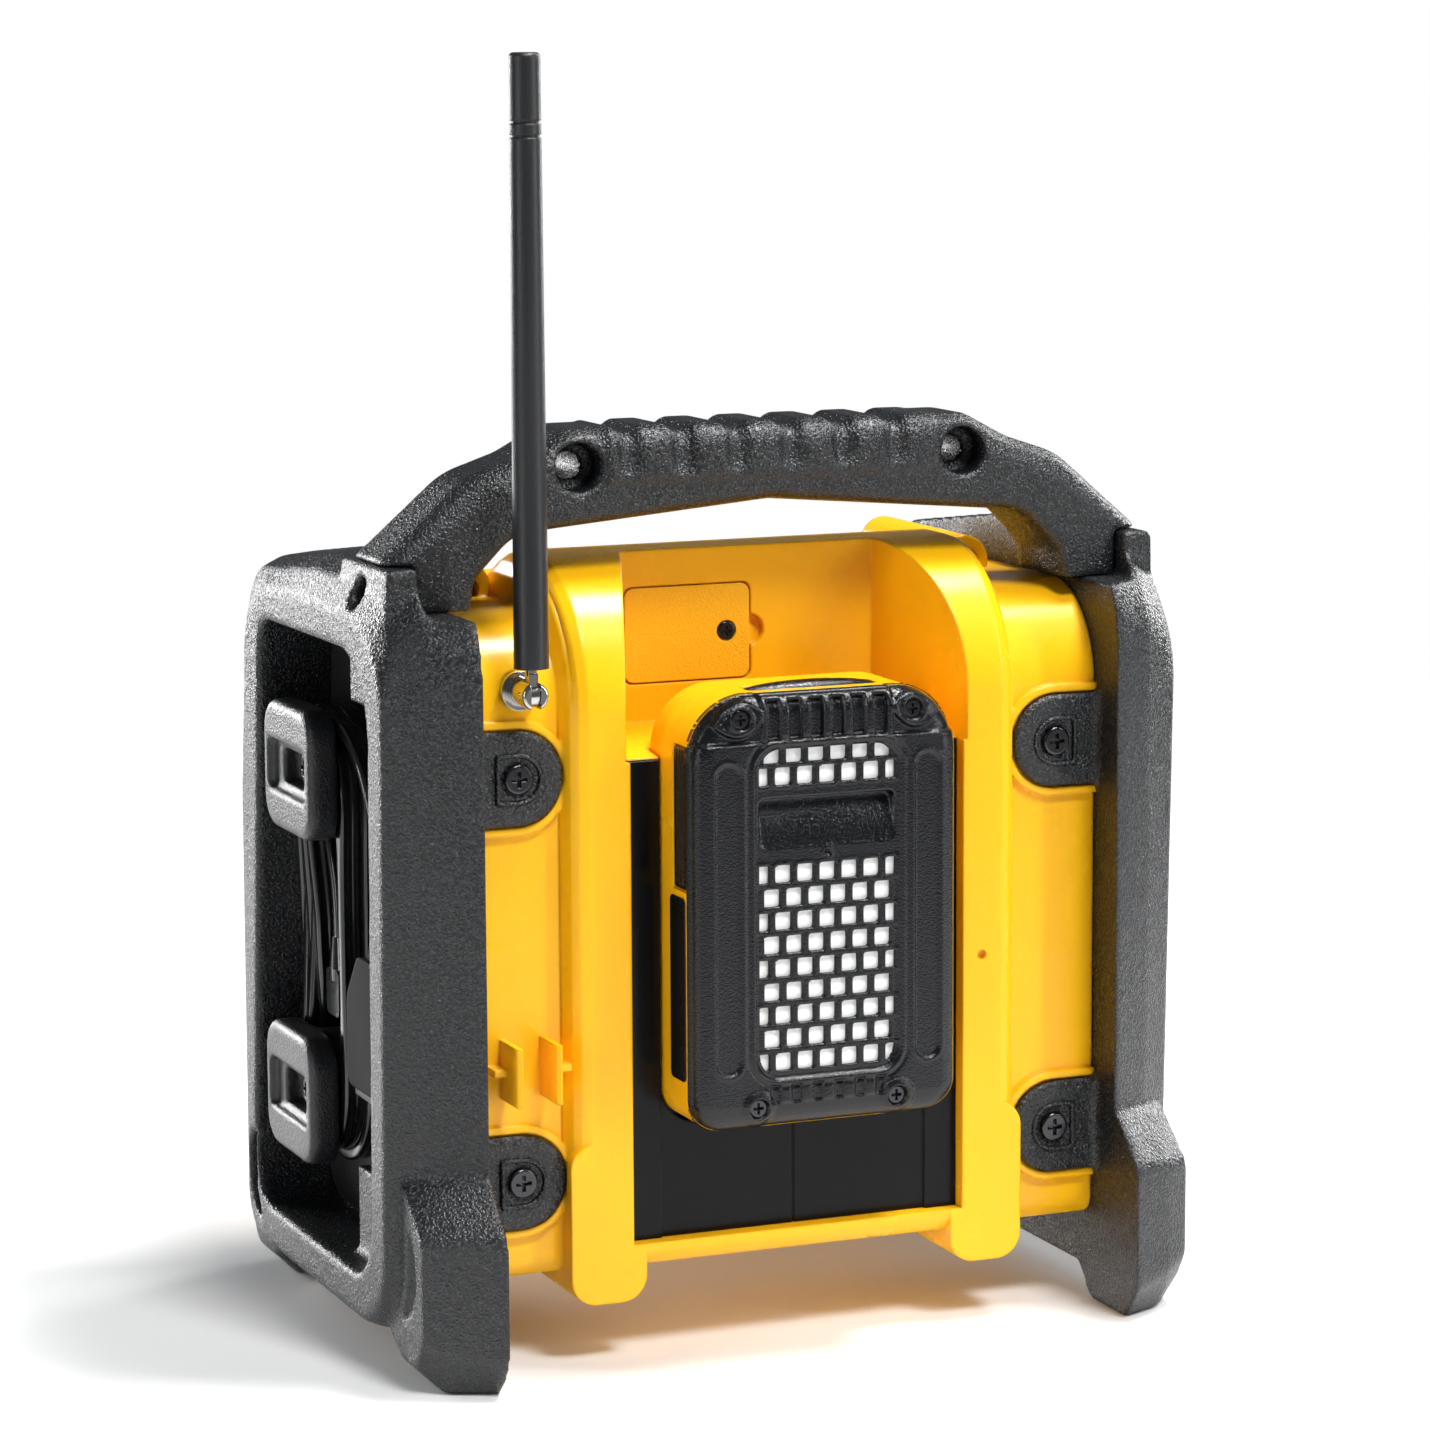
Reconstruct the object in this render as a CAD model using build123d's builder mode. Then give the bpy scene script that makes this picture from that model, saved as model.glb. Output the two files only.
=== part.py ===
from build123d import *
import math
import os

os.makedirs("parts", exist_ok=True)

# A jobsite radio with a slide-in battery.  Millimetres, +Z up, the speakers
# face -Y, the battery dock faces +Y and the mains cord is wound on the +X side.
# The origin is on the ground, in the middle between the four feet.

# ---- Sizes ------------------------------------------------------------------
# General
fit_gap = 0.2                 # between pieces that stand still
run_gap = 0.4                 # between pieces that slide or turn
wall = 2.6                    # moulded housing wall

# Side frames: a rounded loop on each side, bevelled towards its outer face
half_width = 113.6            # outer face of a frame
frame_inner = 90.0            # inner face of a frame
bevel_x = 102.6               # where the steep outer bevel starts
bevel_share = 0.48            # share of the whole bevel reached there
round_x = 109.8               # where the rounding of the top and front ends
frame_top = 211.5
rail_bottom = 9.0
rear_pillar = 69.2            # rear face of the rear pillar
front_pillar = -73.0          # front face of the front pillar
foot_reach = 83.0             # front and rear end of the feet
foot_x = 110.1                # outer face of the feet
foot_top = 43.0
foot_shoulder = 13.0          # height of the slope above a foot
groove_depth = 1.8            # crescent in the face of a foot
groove_points = [(61.0, 43.8), (66.6, 36.0), (67.4, 27.5), (63.0, 20.0), (55.0, 15.5), (60.6, 25.0), (61.4, 35.0)]
groove_radii = [0.8, 4, 4, 4, 0.8, 5, 5]
sole_start = 55.0             # inner end of the flat sole
toe = 7.0
heel = 9.0
rear_bevel = 12.0             # how far the outer face stands in at the rear
front_bevel = 7.0
top_bevel = 13.0
sole_bevel = 10.6
sole_trim = 0.4               # ground off flat under the feet
bumper_low = 139.0            # bumper on the front pillar
bumper_high = 180.0
bumper_rise = 1.8
window_rear = 44.6            # opening of the loop
window_top = 189.0
window_bottom = 22.5
window_front_low = -61.5
window_front_high = -48.5
corner_block = 105.0          # outer face of the blocks in the rear corners
corner_block_front = 6.0
corner_block_top = 172.0
corner_block_low = 46.0
shoulder_x = 109.3            # block that carries the wing of the handle
shoulder_low = 197.0
shoulder_step = 4.0

# Lugs that clamp the frames to the housing
lug_x = 77.0
lug_radius = 12.6
lug_heights = [50.4, 156.8]
lug_thickness = 3.2
lug_inset = 6.4
lug_inset_depth = 0.7
lug_rim = 2.4                 # raised rim of the housing round each lug
lug_rim_height = 1.6
lug_screw = 2.0               # shank radius
lug_screw_head = 3.9
lug_screw_length = 19.0

# Housing
split_y = -12.0               # joint between rear and front housing
rear_y = 55.2                 # rear face of the housing corners
front_y = -60.0               # front face of the housing
housing_half = 89.8
housing_bottom = 23.6
housing_top = 198.0
rear_round = 26.0
front_round = 12.0
hump_half = 65.0              # raised middle of the rear
hump_y = 62.0
mark_x = -53.2               # small blind hole beside the dock
mark_z = 100.8
mark_radius = 1.3
mark_depth = 1.5
hump_bottom = 24.6
hump_top = 210.5
hump_round = 37.0
hump_edge = 6.0
lobe_bottom = 16.5            # rounded lobes under the hump
lobe_inner = 44.0
boss_x = 73.3                 # screw bosses on the shoulders
boss_z = 200.3
boss_radius = 7.2
boss_end = 8.1
boss_front = -46.0
boss_screw = 2.0
boss_screw_head = 3.6
boss_screw_depth = 4.0

# Scoop above the battery
scoop_back = 27.0
scoop_half = 36.5
scoop_mouth = 48.5
ledge_front = 159.6
ledge_back = 164.5

# Battery dock
dock_half = 47.6
dock_bottom = 31.5
dock_top = 159.4
dock_back = 35.0
dock_face = 58.0
dock_floor = 50.0             # floor of the channel for the pack
slot_half = 30.0              # slot for the rail of the pack
slot_floor = 38.4
lip_half = 26.6
lip_floor = 46.0
lip_low = 74.0
lip_high = 148.0

# Battery pack
pack_half = 37.5
pack_low = 63.5
pack_high = 178.0
pack_back = 50.5
pack_split = 75.0             # joint between its inner and outer shell
pack_face = 81.2
pack_wall = 2.0
rail_half = 26.0
rail_flange = 29.4
rail_back = 39.0
rail_neck = 45.6
rail_low = 84.0
rail_high = 144.0
blade_x = [-14.0, -5.0, 5.0, 14.0]
blade_thickness = 0.8
blade_top = 96.0
block_low = 62.2               # terminal block
block_top = 80.0
cell_radius = 9.1
cell_length = 65.0
cell_pitch = 18.9
cell_count = 5
cell_low = 83.0               # axis of the lowest cell
cell_y = 62.2
grid_half = 20.0
grid_low = 76.8
grid_high = 164.6
grid_depth = 1.0
mesh_pitch_x = 6.25
mesh_pitch_z = 6.2
mesh_hole_x = 3.8
mesh_hole_z = 4.2
mesh_first = 131.0
mesh_rows = 9
mesh_upper = [156.6, 162.4]
mesh_offset_rows = [1, 3, 5, 7, 10]
mesh_plate = 1.2              # thickness of the gridded wall
latch_half = 18.0
latch_y = 67.5
latch_depth = 7.0
latch_left = 0.4             # what still stands out when it is pressed
latch_height = 9.0
latch_travel = 2.2
pack_screw = 1.4
pack_screw_head = 2.6
pack_screw_sunk = 2.6
pack_boss = 3.0
grip_panel_y = 66.0
grip_panel_low = 127.0
grip_panel_high = 165.0
finger_low = 137.5
finger_high = 149.5
rib_x = [-15.0, -9.0, -3.0, 3.0, 9.0, 15.0]
rib_width = 2.6
rib_height = 9.6
rib_z = 170.4
label_x = 29.0                # bare sunken panels beside the window
label_width = 7.6
label_low = 79.0
label_high = 160.0
label_depth = 0.4
skirt_top = 74.6
skirt_drop = 1.5
carrier_face = 76.0
carrier_low = 73.6
carrier_high = 168.4
carrier_corner = 16.0
carrier_plate = 2.4
pad_half = 20.6               # raised pads that show through the grid
pad_heights = [(77.4, 134.0), (154.2, 164.0)]

# Backup cell behind the scoop
cover_left = 35.2
cover_width = 35.8
cover_low = 175.0
cover_height = 25.3
cover_thickness = 1.8
cover_gap = 0.45
cover_corner = 2.6
tab_z = [181.5, 193.8]        # tabs on which the cover tilts
tab_y = 25.2
tab_thickness = 0.9
tab_width = 5.0
tab_reach = 1.6
tab_swing = 1.6               # depth behind the tabs for their swing
cover_screw_x = 6.0
cover_screw = 1.2
cover_screw_head = 2.5
cover_screw_boss = 4.2
cover_screw_reach = 3.0
coin_x = 21.2
coin_radius = 10.0
coin_thickness = 3.2
holder_width = 22.6
holder_height = 26.0
holder_floor = 2.6

# Antenna
antenna_x = 75.6
antenna_y = 65.0
antenna_z = 179.5
knuckle_base = 58.4
knuckle_end = 68.6
slot_start = 61.6
bush_radius = 4.6
knuckle_radius = 3.6
tongue = 2.4                  # flat of the rod between the cheeks
tongue_radius = 3.0
tongue_width = 3.6
tongue_top = 5.7
rod_start = 5.1               # clear of the cheeks as the rod tilts
pin_radius = 1.0
rod_radius = 1.5
rod_end = 329.0
sleeve_low = 186.5
sleeve_high = 341.7
sleeve_radius_low = 4.55
sleeve_radius_high = 4.0
sleeve_rings = [320.5, 324.0]
clip_low = 72.8
clip_height = 15.6
clip_gap = 4.7
clip_wall = 1.6
clip_reach = 68.0

# Handle
handle_rear = 47.0
handle_front = 17.0
handle_top = 245.0
handle_under = 224.2
handle_foot = 199.3
leg_inner = 84.0
leg_outer = 100.3
handle_hole_x = 54.9
handle_hole_z = 235.0
handle_hole = 3.6
handle_hole_wide = 6.4
handle_hole_deep = 9.0
handle_round = 6.0
grip_half = 46.5
grip_seam = 231.5
grip_round = 6.6
grip_proud = 0.6
grip_pitch = 15.2
grip_valleys = 6
grip_shift = 3.3
grip_groove = 5.0
grip_groove_depth = 1.9
leg_screw_y = 31.0
leg_screw_z = 203.6
leg_screw_head = 3.6
leg_screw_seat = 104.2
leg_screw = 1.6
leg_screw_tip = 91.0

# Cord side
panel_thickness = 2.5
cleat_y = [-31.0, -27.5]
cleat_z = [59.0, 149.0]
post_y = -27.0
post_z = [63.0, 143.0]
post_radius = 13.5
flange_inner = 104.5
flange_outer = 112.8
flange_y = 42.0
flange_z = 35.5
flange_corner = 9.0
dish_y = 33.0
dish_z = 14.0
dish_depth = 2.2
dish_hole_y = 17.5
dish_hole_z = 9.5
dish_hole_depth = 5.0
cleat_screw = 2.0
cleat_screw_head = 3.8
cleat_screw_tip = 85.0
cord_width = 5.4
cord_thickness = 3.4
hank_layers = 3
hank_columns = 2
hank_gap = 0.35
gland_z = 80.0
gland_x = 97.2
plug_x = 100.6
plug_y = 24.0
plug_top = 105.0
plug_width = 35.0
plug_height = 36.0
plug_thickness = 14.0
plug_boot = 17.0
plug_pin = 2.0
plug_pin_length = 19.0
plug_pin_pitch = 18.6
gland_base = 13.0
gland_steps = [(90.0, 3.9, 4.6), (93.2, 3.9, 4.4), (102.0, 3.2, 2.6)]
lead_points = [(-27.0, 102.0), (-27.0, 115.0), (-34.5, 128.0), (-47.5, 135.5)]
tail_points = [(-22.0, 165.0), (-4.0, 162.0), (12.5, 150.5), (22.0, 133.5), (24.0, 112.0)]
shelf_top = 68.8
shelf_reach = 106.0

# Controls and speakers
fascia_half = 60.0
fascia_low = 114.0
fascia_high = 184.0
fascia_proud = 2.0
fascia_corner = 8.0
fascia_lip = 4.0
window_glass = 1.6
display_z = 164.0
display_half = 29.0
display_height = 25.0
button_x = [-28.0, -14.0, 0.0, 14.0, 28.0]
button_z = 128.0
button_width = 10.0
button_height = 7.0
button_travel = 1.0
button_proud = 2.4
knob_x = 46.0
knob_z = 156.0
knob_radius = 12.5
knob_height = 13.0
knob_flutes = 24
spindle = 3.0
spindle_end = -52.0
button_board_y = -54.0
button_posts = [38.0, -38.0]
speaker_x = 38.0
speaker_z = 78.0
speaker_profile = [           # radius and depth behind the front wall
    (0, 5),
    (8, 7),
    (9, 12),
    (26, 1.2),
    (28, 1.2),
    (28, 0.4),
    (28, 0),
    (31, 0),
    (31, 2.4),
    (27, 3),
    (14, 17),
    (14, 20),
    (22, 20),
    (22, 32),
    (0, 32),
]
speaker_hole = 28.0
grille_radius = 31.0
grille_thickness = 1.6
grille_hole = 1.9
grille_rings = 7
grille_step = 4.5
grille_seat = 1.4

# Inside
board_y = -34.0
board_half = 68.0
board_low = 120.0
board_high = 190.0
board_posts = [(64.0, 124.0), (-64.0, 124.0), (64.0, 185.0), (-64.0, 185.0)]
board_parts = [(-40, 165, 34, 26, 9), (20, 140, 46, 12, 18), (30, 172, 22, 22, 3)]
board_capacitors = [(-30, 136), (-14, 136), (54, 136)]
transformer_y = 4.0
transformer_half = 24.0

# Far side panel
flap_y = 0.0
flap_z = 70.0
flap_width = 22.0
flap_hinge_z = 84.0
flap_low = 54.0
flap_thickness = 2.2
jack_radius = 1.8
jack_body = 4.2
jack_depth = 14.0

ring_planes = [(frame_inner, 0, 0), (bevel_x, bevel_share, 0.12), (round_x, 0.82, 0.42), (half_width, 1, 1)]
foot_share = bevel_share + (1 - bevel_share) * (foot_x - bevel_x) / (half_width - bevel_x)
foot_planes = [(frame_inner, 0.0), (bevel_x, bevel_share), (foot_x, foot_share)]
inner_half = housing_half - wall
latch_top = pack_high + latch_travel + latch_left
panel_face = housing_half + panel_thickness
cover_x = cover_left - cover_width / 2
cover_z = cover_low + cover_height / 2
hank_inner = post_radius + 0.3
hank_outer = hank_inner + hank_layers * cord_thickness
hank_back = panel_face + 0.9
hank_front = hank_back + hank_columns * cord_width


# ---- Shapes used more than once ---------------------------------------------
def ring(side, rest):
    """Outline of a frame's ring in Y and Z, and its radii, at shares of the rear and of the other bevels"""
    corners = [
        (rear_pillar, rail_bottom, -17, 2.5, side, 22, 22),
        (rear_pillar, frame_top, -11.4, -top_bevel, side, 28, 28),
        (-8, frame_top, 0, -top_bevel, rest, 60, 60),
        (-71.5, frame_top - 8.5, 10.5, -6.5, rest, 14, 23),
        (front_pillar - bumper_rise, bumper_high, 12, -13, rest, 6, 6),
        (front_pillar - bumper_rise, bumper_low, 8, 0, rest, 4, 4),
        (front_pillar, bumper_low - 6, 5.6, 0, rest, 4, 4),
        (front_pillar, rail_bottom, 4, 2.5, rest, 10, 14),
    ]
    points = [(y + share * dy, z + rest * dz) for y, z, dy, dz, share, *_ in corners]
    return points, [start + rest * (end - start) for *_, start, end in corners]


def foot(share, side, bevel):
    """Outline of a rear (1) or front (-1) foot at a share of its bevel: points in Y and Z"""
    lift = sole_bevel * max(0, share - bevel_share) / (1 - bevel_share) - sole_trim
    corners = [
        (sole_start, lift, 0, 0),
        (foot_reach - toe, lift, 2 - bevel, 0),
        (foot_reach, heel, -bevel, 7),
        (foot_reach, foot_top, -bevel, -2),
        (rear_pillar, foot_top + foot_shoulder, -bevel, -4),
        (rear_pillar - 14, foot_top + foot_shoulder + 2, -3, -4),
        (rear_pillar - 22, rail_bottom + 8, -3, 0),
        (sole_start - 9, rail_bottom + 0.8, 0, 2),
    ]
    return [(side * (y + share * dy), z + share * dz) for y, z, dy, dz in corners]


foot_radii = [4, 5, 5, 5, 6, 3, 3, 2]
window = [
    (window_rear - 3, window_bottom),
    (window_rear + 1, window_top),
    (window_front_high, window_top - 1),
    (window_front_low, window_bottom),
]
window_radii = [18, 23, 8, 13]


def rear_plane(y):
    """Plane facing the front at depth y, with X across and Z up"""
    return Plane(origin=(0, y, 0), x_dir=(1, 0, 0), z_dir=(0, -1, 0))


def front_plane(y):
    """Plane facing the rear at depth y, with -X across and Z up"""
    return Plane(origin=(0, y, 0), x_dir=(-1, 0, 0), z_dir=(0, 1, 0))


def lug_face(radius):
    """D-shaped outline of a lug, from its round nose to the frame"""
    reach = frame_inner + 2 - lug_x
    for side in (1, -1):
        with Locations(*[(side * lug_x, z) for z in lug_heights]):
            Circle(radius)
        with Locations(*[(side * (lug_x + reach / 2), z) for z in lug_heights]):
            Rectangle(reach, 2 * radius)


def lug_points():
    """Centres of the four lug screws in X and Z"""
    return [(side * lug_x, z) for side in (1, -1) for z in lug_heights]


def screw_shape(head_radius, head_height, shank_radius, length):
    """Pan-head screw along +Z with its seat at the origin and a cross recess"""
    with BuildPart() as screw:
        Cylinder(shank_radius, length, align=(Align.CENTER, Align.CENTER, Align.MAX))
        Cylinder(head_radius, head_height, align=(Align.CENTER, Align.CENTER, Align.MIN))
        fillet(screw.edges().filter_by(GeomType.CIRCLE).sort_by(Axis.Z)[-1], head_height / 3)
        with BuildSketch(Plane.XY.offset(head_height)):
            Rectangle(head_radius * 1.1, head_radius * 0.26)
            Rectangle(head_radius * 0.26, head_radius * 1.1)
        extrude(amount=-head_height * 0.7, mode=Mode.SUBTRACT)
    return screw.part


# ---- Side frames ------------------------------------------------------------
with BuildPart() as frame_left:
    for plane_x, side, rest in ring_planes:
        outline, radii = ring(side, rest)
        with BuildSketch(Plane.YZ.offset(plane_x)):
            with BuildLine():
                FilletPolyline(*outline, radius=radii, close=True)
            make_face()
    loft(ruled=True)
    for side, bevel in ((1, rear_bevel), (-1, front_bevel)):
        with BuildPart(mode=Mode.PRIVATE) as frame_foot:
            for plane_x, share in foot_planes:
                with BuildSketch(Plane.YZ.offset(plane_x)):
                    with BuildLine():
                        FilletPolyline(*foot(share, side, bevel), radius=foot_radii, close=True)
                    make_face()
            loft(ruled=True)
        add(frame_foot.part)
    split(bisect_by=Plane.XY)
    with BuildSketch(Plane.YZ.offset(frame_inner)):
        with BuildLine():
            FilletPolyline(*window, radius=window_radii, close=True)
        make_face()
    extrude(amount=frame_inner, mode=Mode.SUBTRACT)
    # Blocks in the rear corners of the window
    for low, high in ((corner_block_top, window_top + 4), (window_bottom - 4, corner_block_low)):
        with BuildSketch(Plane.YZ.offset(frame_inner)):
            with Locations(((corner_block_front + rear_pillar - 12) / 2, (low + high) / 2)):
                Rectangle(rear_pillar - 12 - corner_block_front, high - low)
        extrude(amount=corner_block - frame_inner)
    # Seat of the handle leg
    with BuildSketch(Plane.XY.offset(handle_foot)):
        with Locations(((frame_inner + leg_outer + fit_gap) / 2, 60)):
            Rectangle(leg_outer + fit_gap - frame_inner, 2 * (60 - handle_front + fit_gap))
    extrude(amount=40, mode=Mode.SUBTRACT)
    # Block under the wing of the handle
    with BuildSketch(rear_plane(handle_rear + shoulder_step)):
        with BuildLine():
            FilletPolyline(
                (leg_outer + fit_gap, frame_top),
                (shoulder_x, frame_top),
                (shoulder_x + 0.6, shoulder_low),
                (leg_outer + fit_gap, shoulder_low),
                radius=[0, 1.5, 0, 0],
                close=True,
            )
        make_face()
    extrude(amount=handle_rear - handle_front + 2 * shoulder_step)
    # Lugs on the rear and front faces of the housing
    for y, direction in ((rear_y, 1), (front_y, -1)):
        with BuildSketch(front_plane(y)):
            with Locations(*[(-lug_x, z) for z in lug_heights]):
                Circle(lug_radius)
            with Locations(*[(-(lug_x + frame_inner + 2) / 2, z) for z in lug_heights]):
                Rectangle(frame_inner + 2 - lug_x, 2 * lug_radius)
        extrude(amount=direction * lug_thickness)
        with BuildSketch(front_plane(y + direction * lug_thickness)):
            with Locations(*[(-lug_x, z) for z in lug_heights]):
                Circle(lug_inset)
            with Locations(*[(-(lug_x + frame_inner) / 2, z) for z in lug_heights]):
                Rectangle(frame_inner - lug_x - 1, 2 * lug_inset)
        extrude(amount=-direction * lug_inset_depth, mode=Mode.SUBTRACT)
        with BuildSketch(front_plane(y)):
            with Locations(*[(-lug_x, z) for z in lug_heights]):
                Circle(lug_screw)
        extrude(amount=direction * lug_thickness, mode=Mode.SUBTRACT)
        with BuildSketch(front_plane(y + direction * (lug_thickness - lug_inset_depth - 0.8))):
            with Locations(*[(-lug_x, z) for z in lug_heights]):
                Circle(lug_screw_head + 0.3)
        extrude(amount=direction * 4, mode=Mode.SUBTRACT)
    # Countersunk hole of the screw that holds the handle leg
    with BuildSketch(Plane.YZ.offset(leg_outer)):
        with Locations((leg_screw_y, leg_screw_z)):
            Circle(leg_screw)
    extrude(amount=half_width, mode=Mode.SUBTRACT)
    with BuildSketch(Plane.YZ.offset(leg_screw_seat)):
        with Locations((leg_screw_y, leg_screw_z)):
            Circle(leg_screw_head + 0.5)
    extrude(amount=half_width, mode=Mode.SUBTRACT)
    # Crescent groove in the side of each foot
    for side in (1, -1):
        with BuildSketch(Plane.YZ.offset(foot_x - groove_depth)):
            with BuildLine():
                FilletPolyline(
                    *[(side * y, z) for y, z in groove_points], radius=groove_radii, close=True
                )
            make_face()
        extrude(amount=8, mode=Mode.SUBTRACT)
frame_left.part.label = "side_frame_left"
export_step(frame_left.part, "parts/side_frame_left.step")

with BuildPart() as frame_right:
    add(mirror(frame_left.part, about=Plane.YZ, mode=Mode.PRIVATE))
frame_right.part.label = "side_frame_right"
export_step(frame_right.part, "parts/side_frame_right.step")

# ---- Handle -----------------------------------------------------------------
def handle_outline(inset):
    """Right half of the handle in X and Z, its long edges moved in by a bevel"""
    corners = [
        (0, handle_top, 0, -1),
        (57, handle_top, -0.3, -1),
        (70, 238, -0.5, -0.9),
        (85, 233, -0.5, -0.9),
        (109.5, frame_top + fit_gap, -0.9, 0),
        (leg_outer, frame_top + fit_gap, 0, 0),
        (leg_outer, handle_foot, 0, 0),
        (leg_inner, handle_foot, 0.3, 0),
        (leg_inner - 1, 207, 0.3, 0.1),
        (72, 218, 0.2, 0.3),
        (0, handle_under, 0, 0.4),
    ]
    return [(x + inset * dx, z + inset * dz) for x, z, dx, dz in corners]


handle_radii = [0, 8, 12, 22, 0.5, 0.5, 1, 1, 8, 14, 0]
handle_planes = [
    (handle_rear, handle_round),
    (handle_rear - 0.35 * handle_round, 0.35 * handle_round),
    (handle_rear - handle_round, 0),
    (handle_front + handle_round, 0),
    (handle_front + 0.35 * handle_round, 0.35 * handle_round),
    (handle_front, handle_round),
]

with BuildPart() as handle_bar:
    for plane_y, inset in handle_planes:
        with BuildSketch(rear_plane(plane_y)):
            with BuildLine():
                FilletPolyline(*handle_outline(inset), radius=handle_radii, close=True)
            make_face()
    loft(ruled=True)
    mirror(about=Plane.YZ)
    # Saddle of the grip, and the through holes beside it
    with BuildSketch(rear_plane(handle_rear)):
        with Locations((0, grip_seam + 20)):
            Rectangle(2 * (grip_half + fit_gap), 40)
    extrude(amount=handle_rear - handle_front, mode=Mode.SUBTRACT)
    with BuildSketch(rear_plane(handle_rear)):
        with Locations((handle_hole_x, handle_hole_z), (-handle_hole_x, handle_hole_z)):
            Circle(handle_hole)
    extrude(amount=handle_rear - handle_front, mode=Mode.SUBTRACT)
    with BuildSketch(rear_plane(handle_rear)):
        with Locations((handle_hole_x, handle_hole_z), (-handle_hole_x, handle_hole_z)):
            Circle(handle_hole_wide)
    extrude(amount=handle_hole_deep, mode=Mode.SUBTRACT)
    # Blind holes of the leg screws
    for side in (1, -1):
        with BuildSketch(Plane.YZ.offset(side * leg_outer)):
            with Locations((leg_screw_y, leg_screw_z)):
                Circle(leg_screw)
        extrude(amount=-side * (leg_outer - leg_screw_tip), mode=Mode.SUBTRACT)
handle_bar.part.label = "handle_bar"
export_step(handle_bar.part, "parts/handle_bar.step")

grip_mid = (handle_rear + handle_front) / 2
grip_out = (handle_rear - handle_front) / 2 + grip_proud - grip_groove_depth + grip_groove
grip_over = handle_top - grip_groove_depth + grip_groove
valley_round = grip_round + grip_groove - grip_groove_depth
with BuildPart() as handle_grip:
    with BuildSketch(Plane.YZ.offset(-grip_half)):
        with Locations((grip_mid, (grip_seam + handle_top) / 2)):
            RectangleRounded(handle_rear - handle_front + 2 * grip_proud, handle_top - grip_seam, grip_round)
        with Locations((grip_mid, grip_seam + 4)):
            Rectangle(handle_rear - handle_front + 2 * grip_proud, 8)
    extrude(amount=2 * grip_half)
    # Valleys between the finger lobes: up the rear, over the top and down the front
    for index in range(grip_valleys):
        valley_x = grip_shift + (index - (grip_valleys - 1) / 2) * grip_pitch
        with BuildPart(mode=Mode.SUBTRACT):
            with BuildLine(Plane.YZ.offset(valley_x)) as valley:
                FilletPolyline(
                    (grip_mid + grip_out + 4, grip_seam - 2),
                    (grip_mid + grip_out, grip_seam + 4),
                    (grip_mid + grip_out, grip_over),
                    (grip_mid - grip_out, grip_over),
                    (grip_mid - grip_out, grip_seam + 4),
                    (grip_mid - grip_out - 4, grip_seam - 2),
                    radius=[6, valley_round, valley_round, 6],
                )
            with BuildSketch(Plane(origin=valley.line @ 0, z_dir=valley.line % 0)):
                Circle(grip_groove)
            sweep(path=valley.line)
handle_grip.part.label = "handle_grip"
export_step(handle_grip.part, "parts/handle_grip.step")

with BuildPart() as leg_screws:
    for side in (1, -1):
        seat = Plane(origin=(side * leg_screw_seat, leg_screw_y, leg_screw_z), z_dir=(side, 0, 0))
        with Locations(seat):
            add(screw_shape(leg_screw_head, 2.2, leg_screw, leg_screw_seat - leg_screw_tip))
leg_screws.part.label = "handle_leg_screws"
export_step(leg_screws.part, "parts/handle_leg_screws.step")

# ---- Rear housing -----------------------------------------------------------
hump_profile = [
    (split_y, housing_top - 4),
    (10, hump_top),
    (hump_y, hump_top),
    (hump_y, hump_bottom),
    (split_y, hump_bottom),
]


def inset_points(points, step):
    """Points of a profile moved inwards from the rear, the top and the bottom"""
    middle = (hump_top + hump_bottom) / 2
    moved = []
    for y, z in points:
        moved.append((y if y == split_y else y - step, z - step if z > middle else z + step))
    return moved


hump_planes = [
    (-hump_half, hump_edge),
    (-hump_half + 0.3 * hump_edge, 0.45 * hump_edge),
    (-hump_half + 0.6 * hump_edge, 0.15 * hump_edge),
    (-hump_half + hump_edge, 0),
    (hump_half - hump_edge, 0),
    (hump_half - 0.6 * hump_edge, 0.15 * hump_edge),
    (hump_half - 0.3 * hump_edge, 0.45 * hump_edge),
    (hump_half, hump_edge),
]

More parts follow.
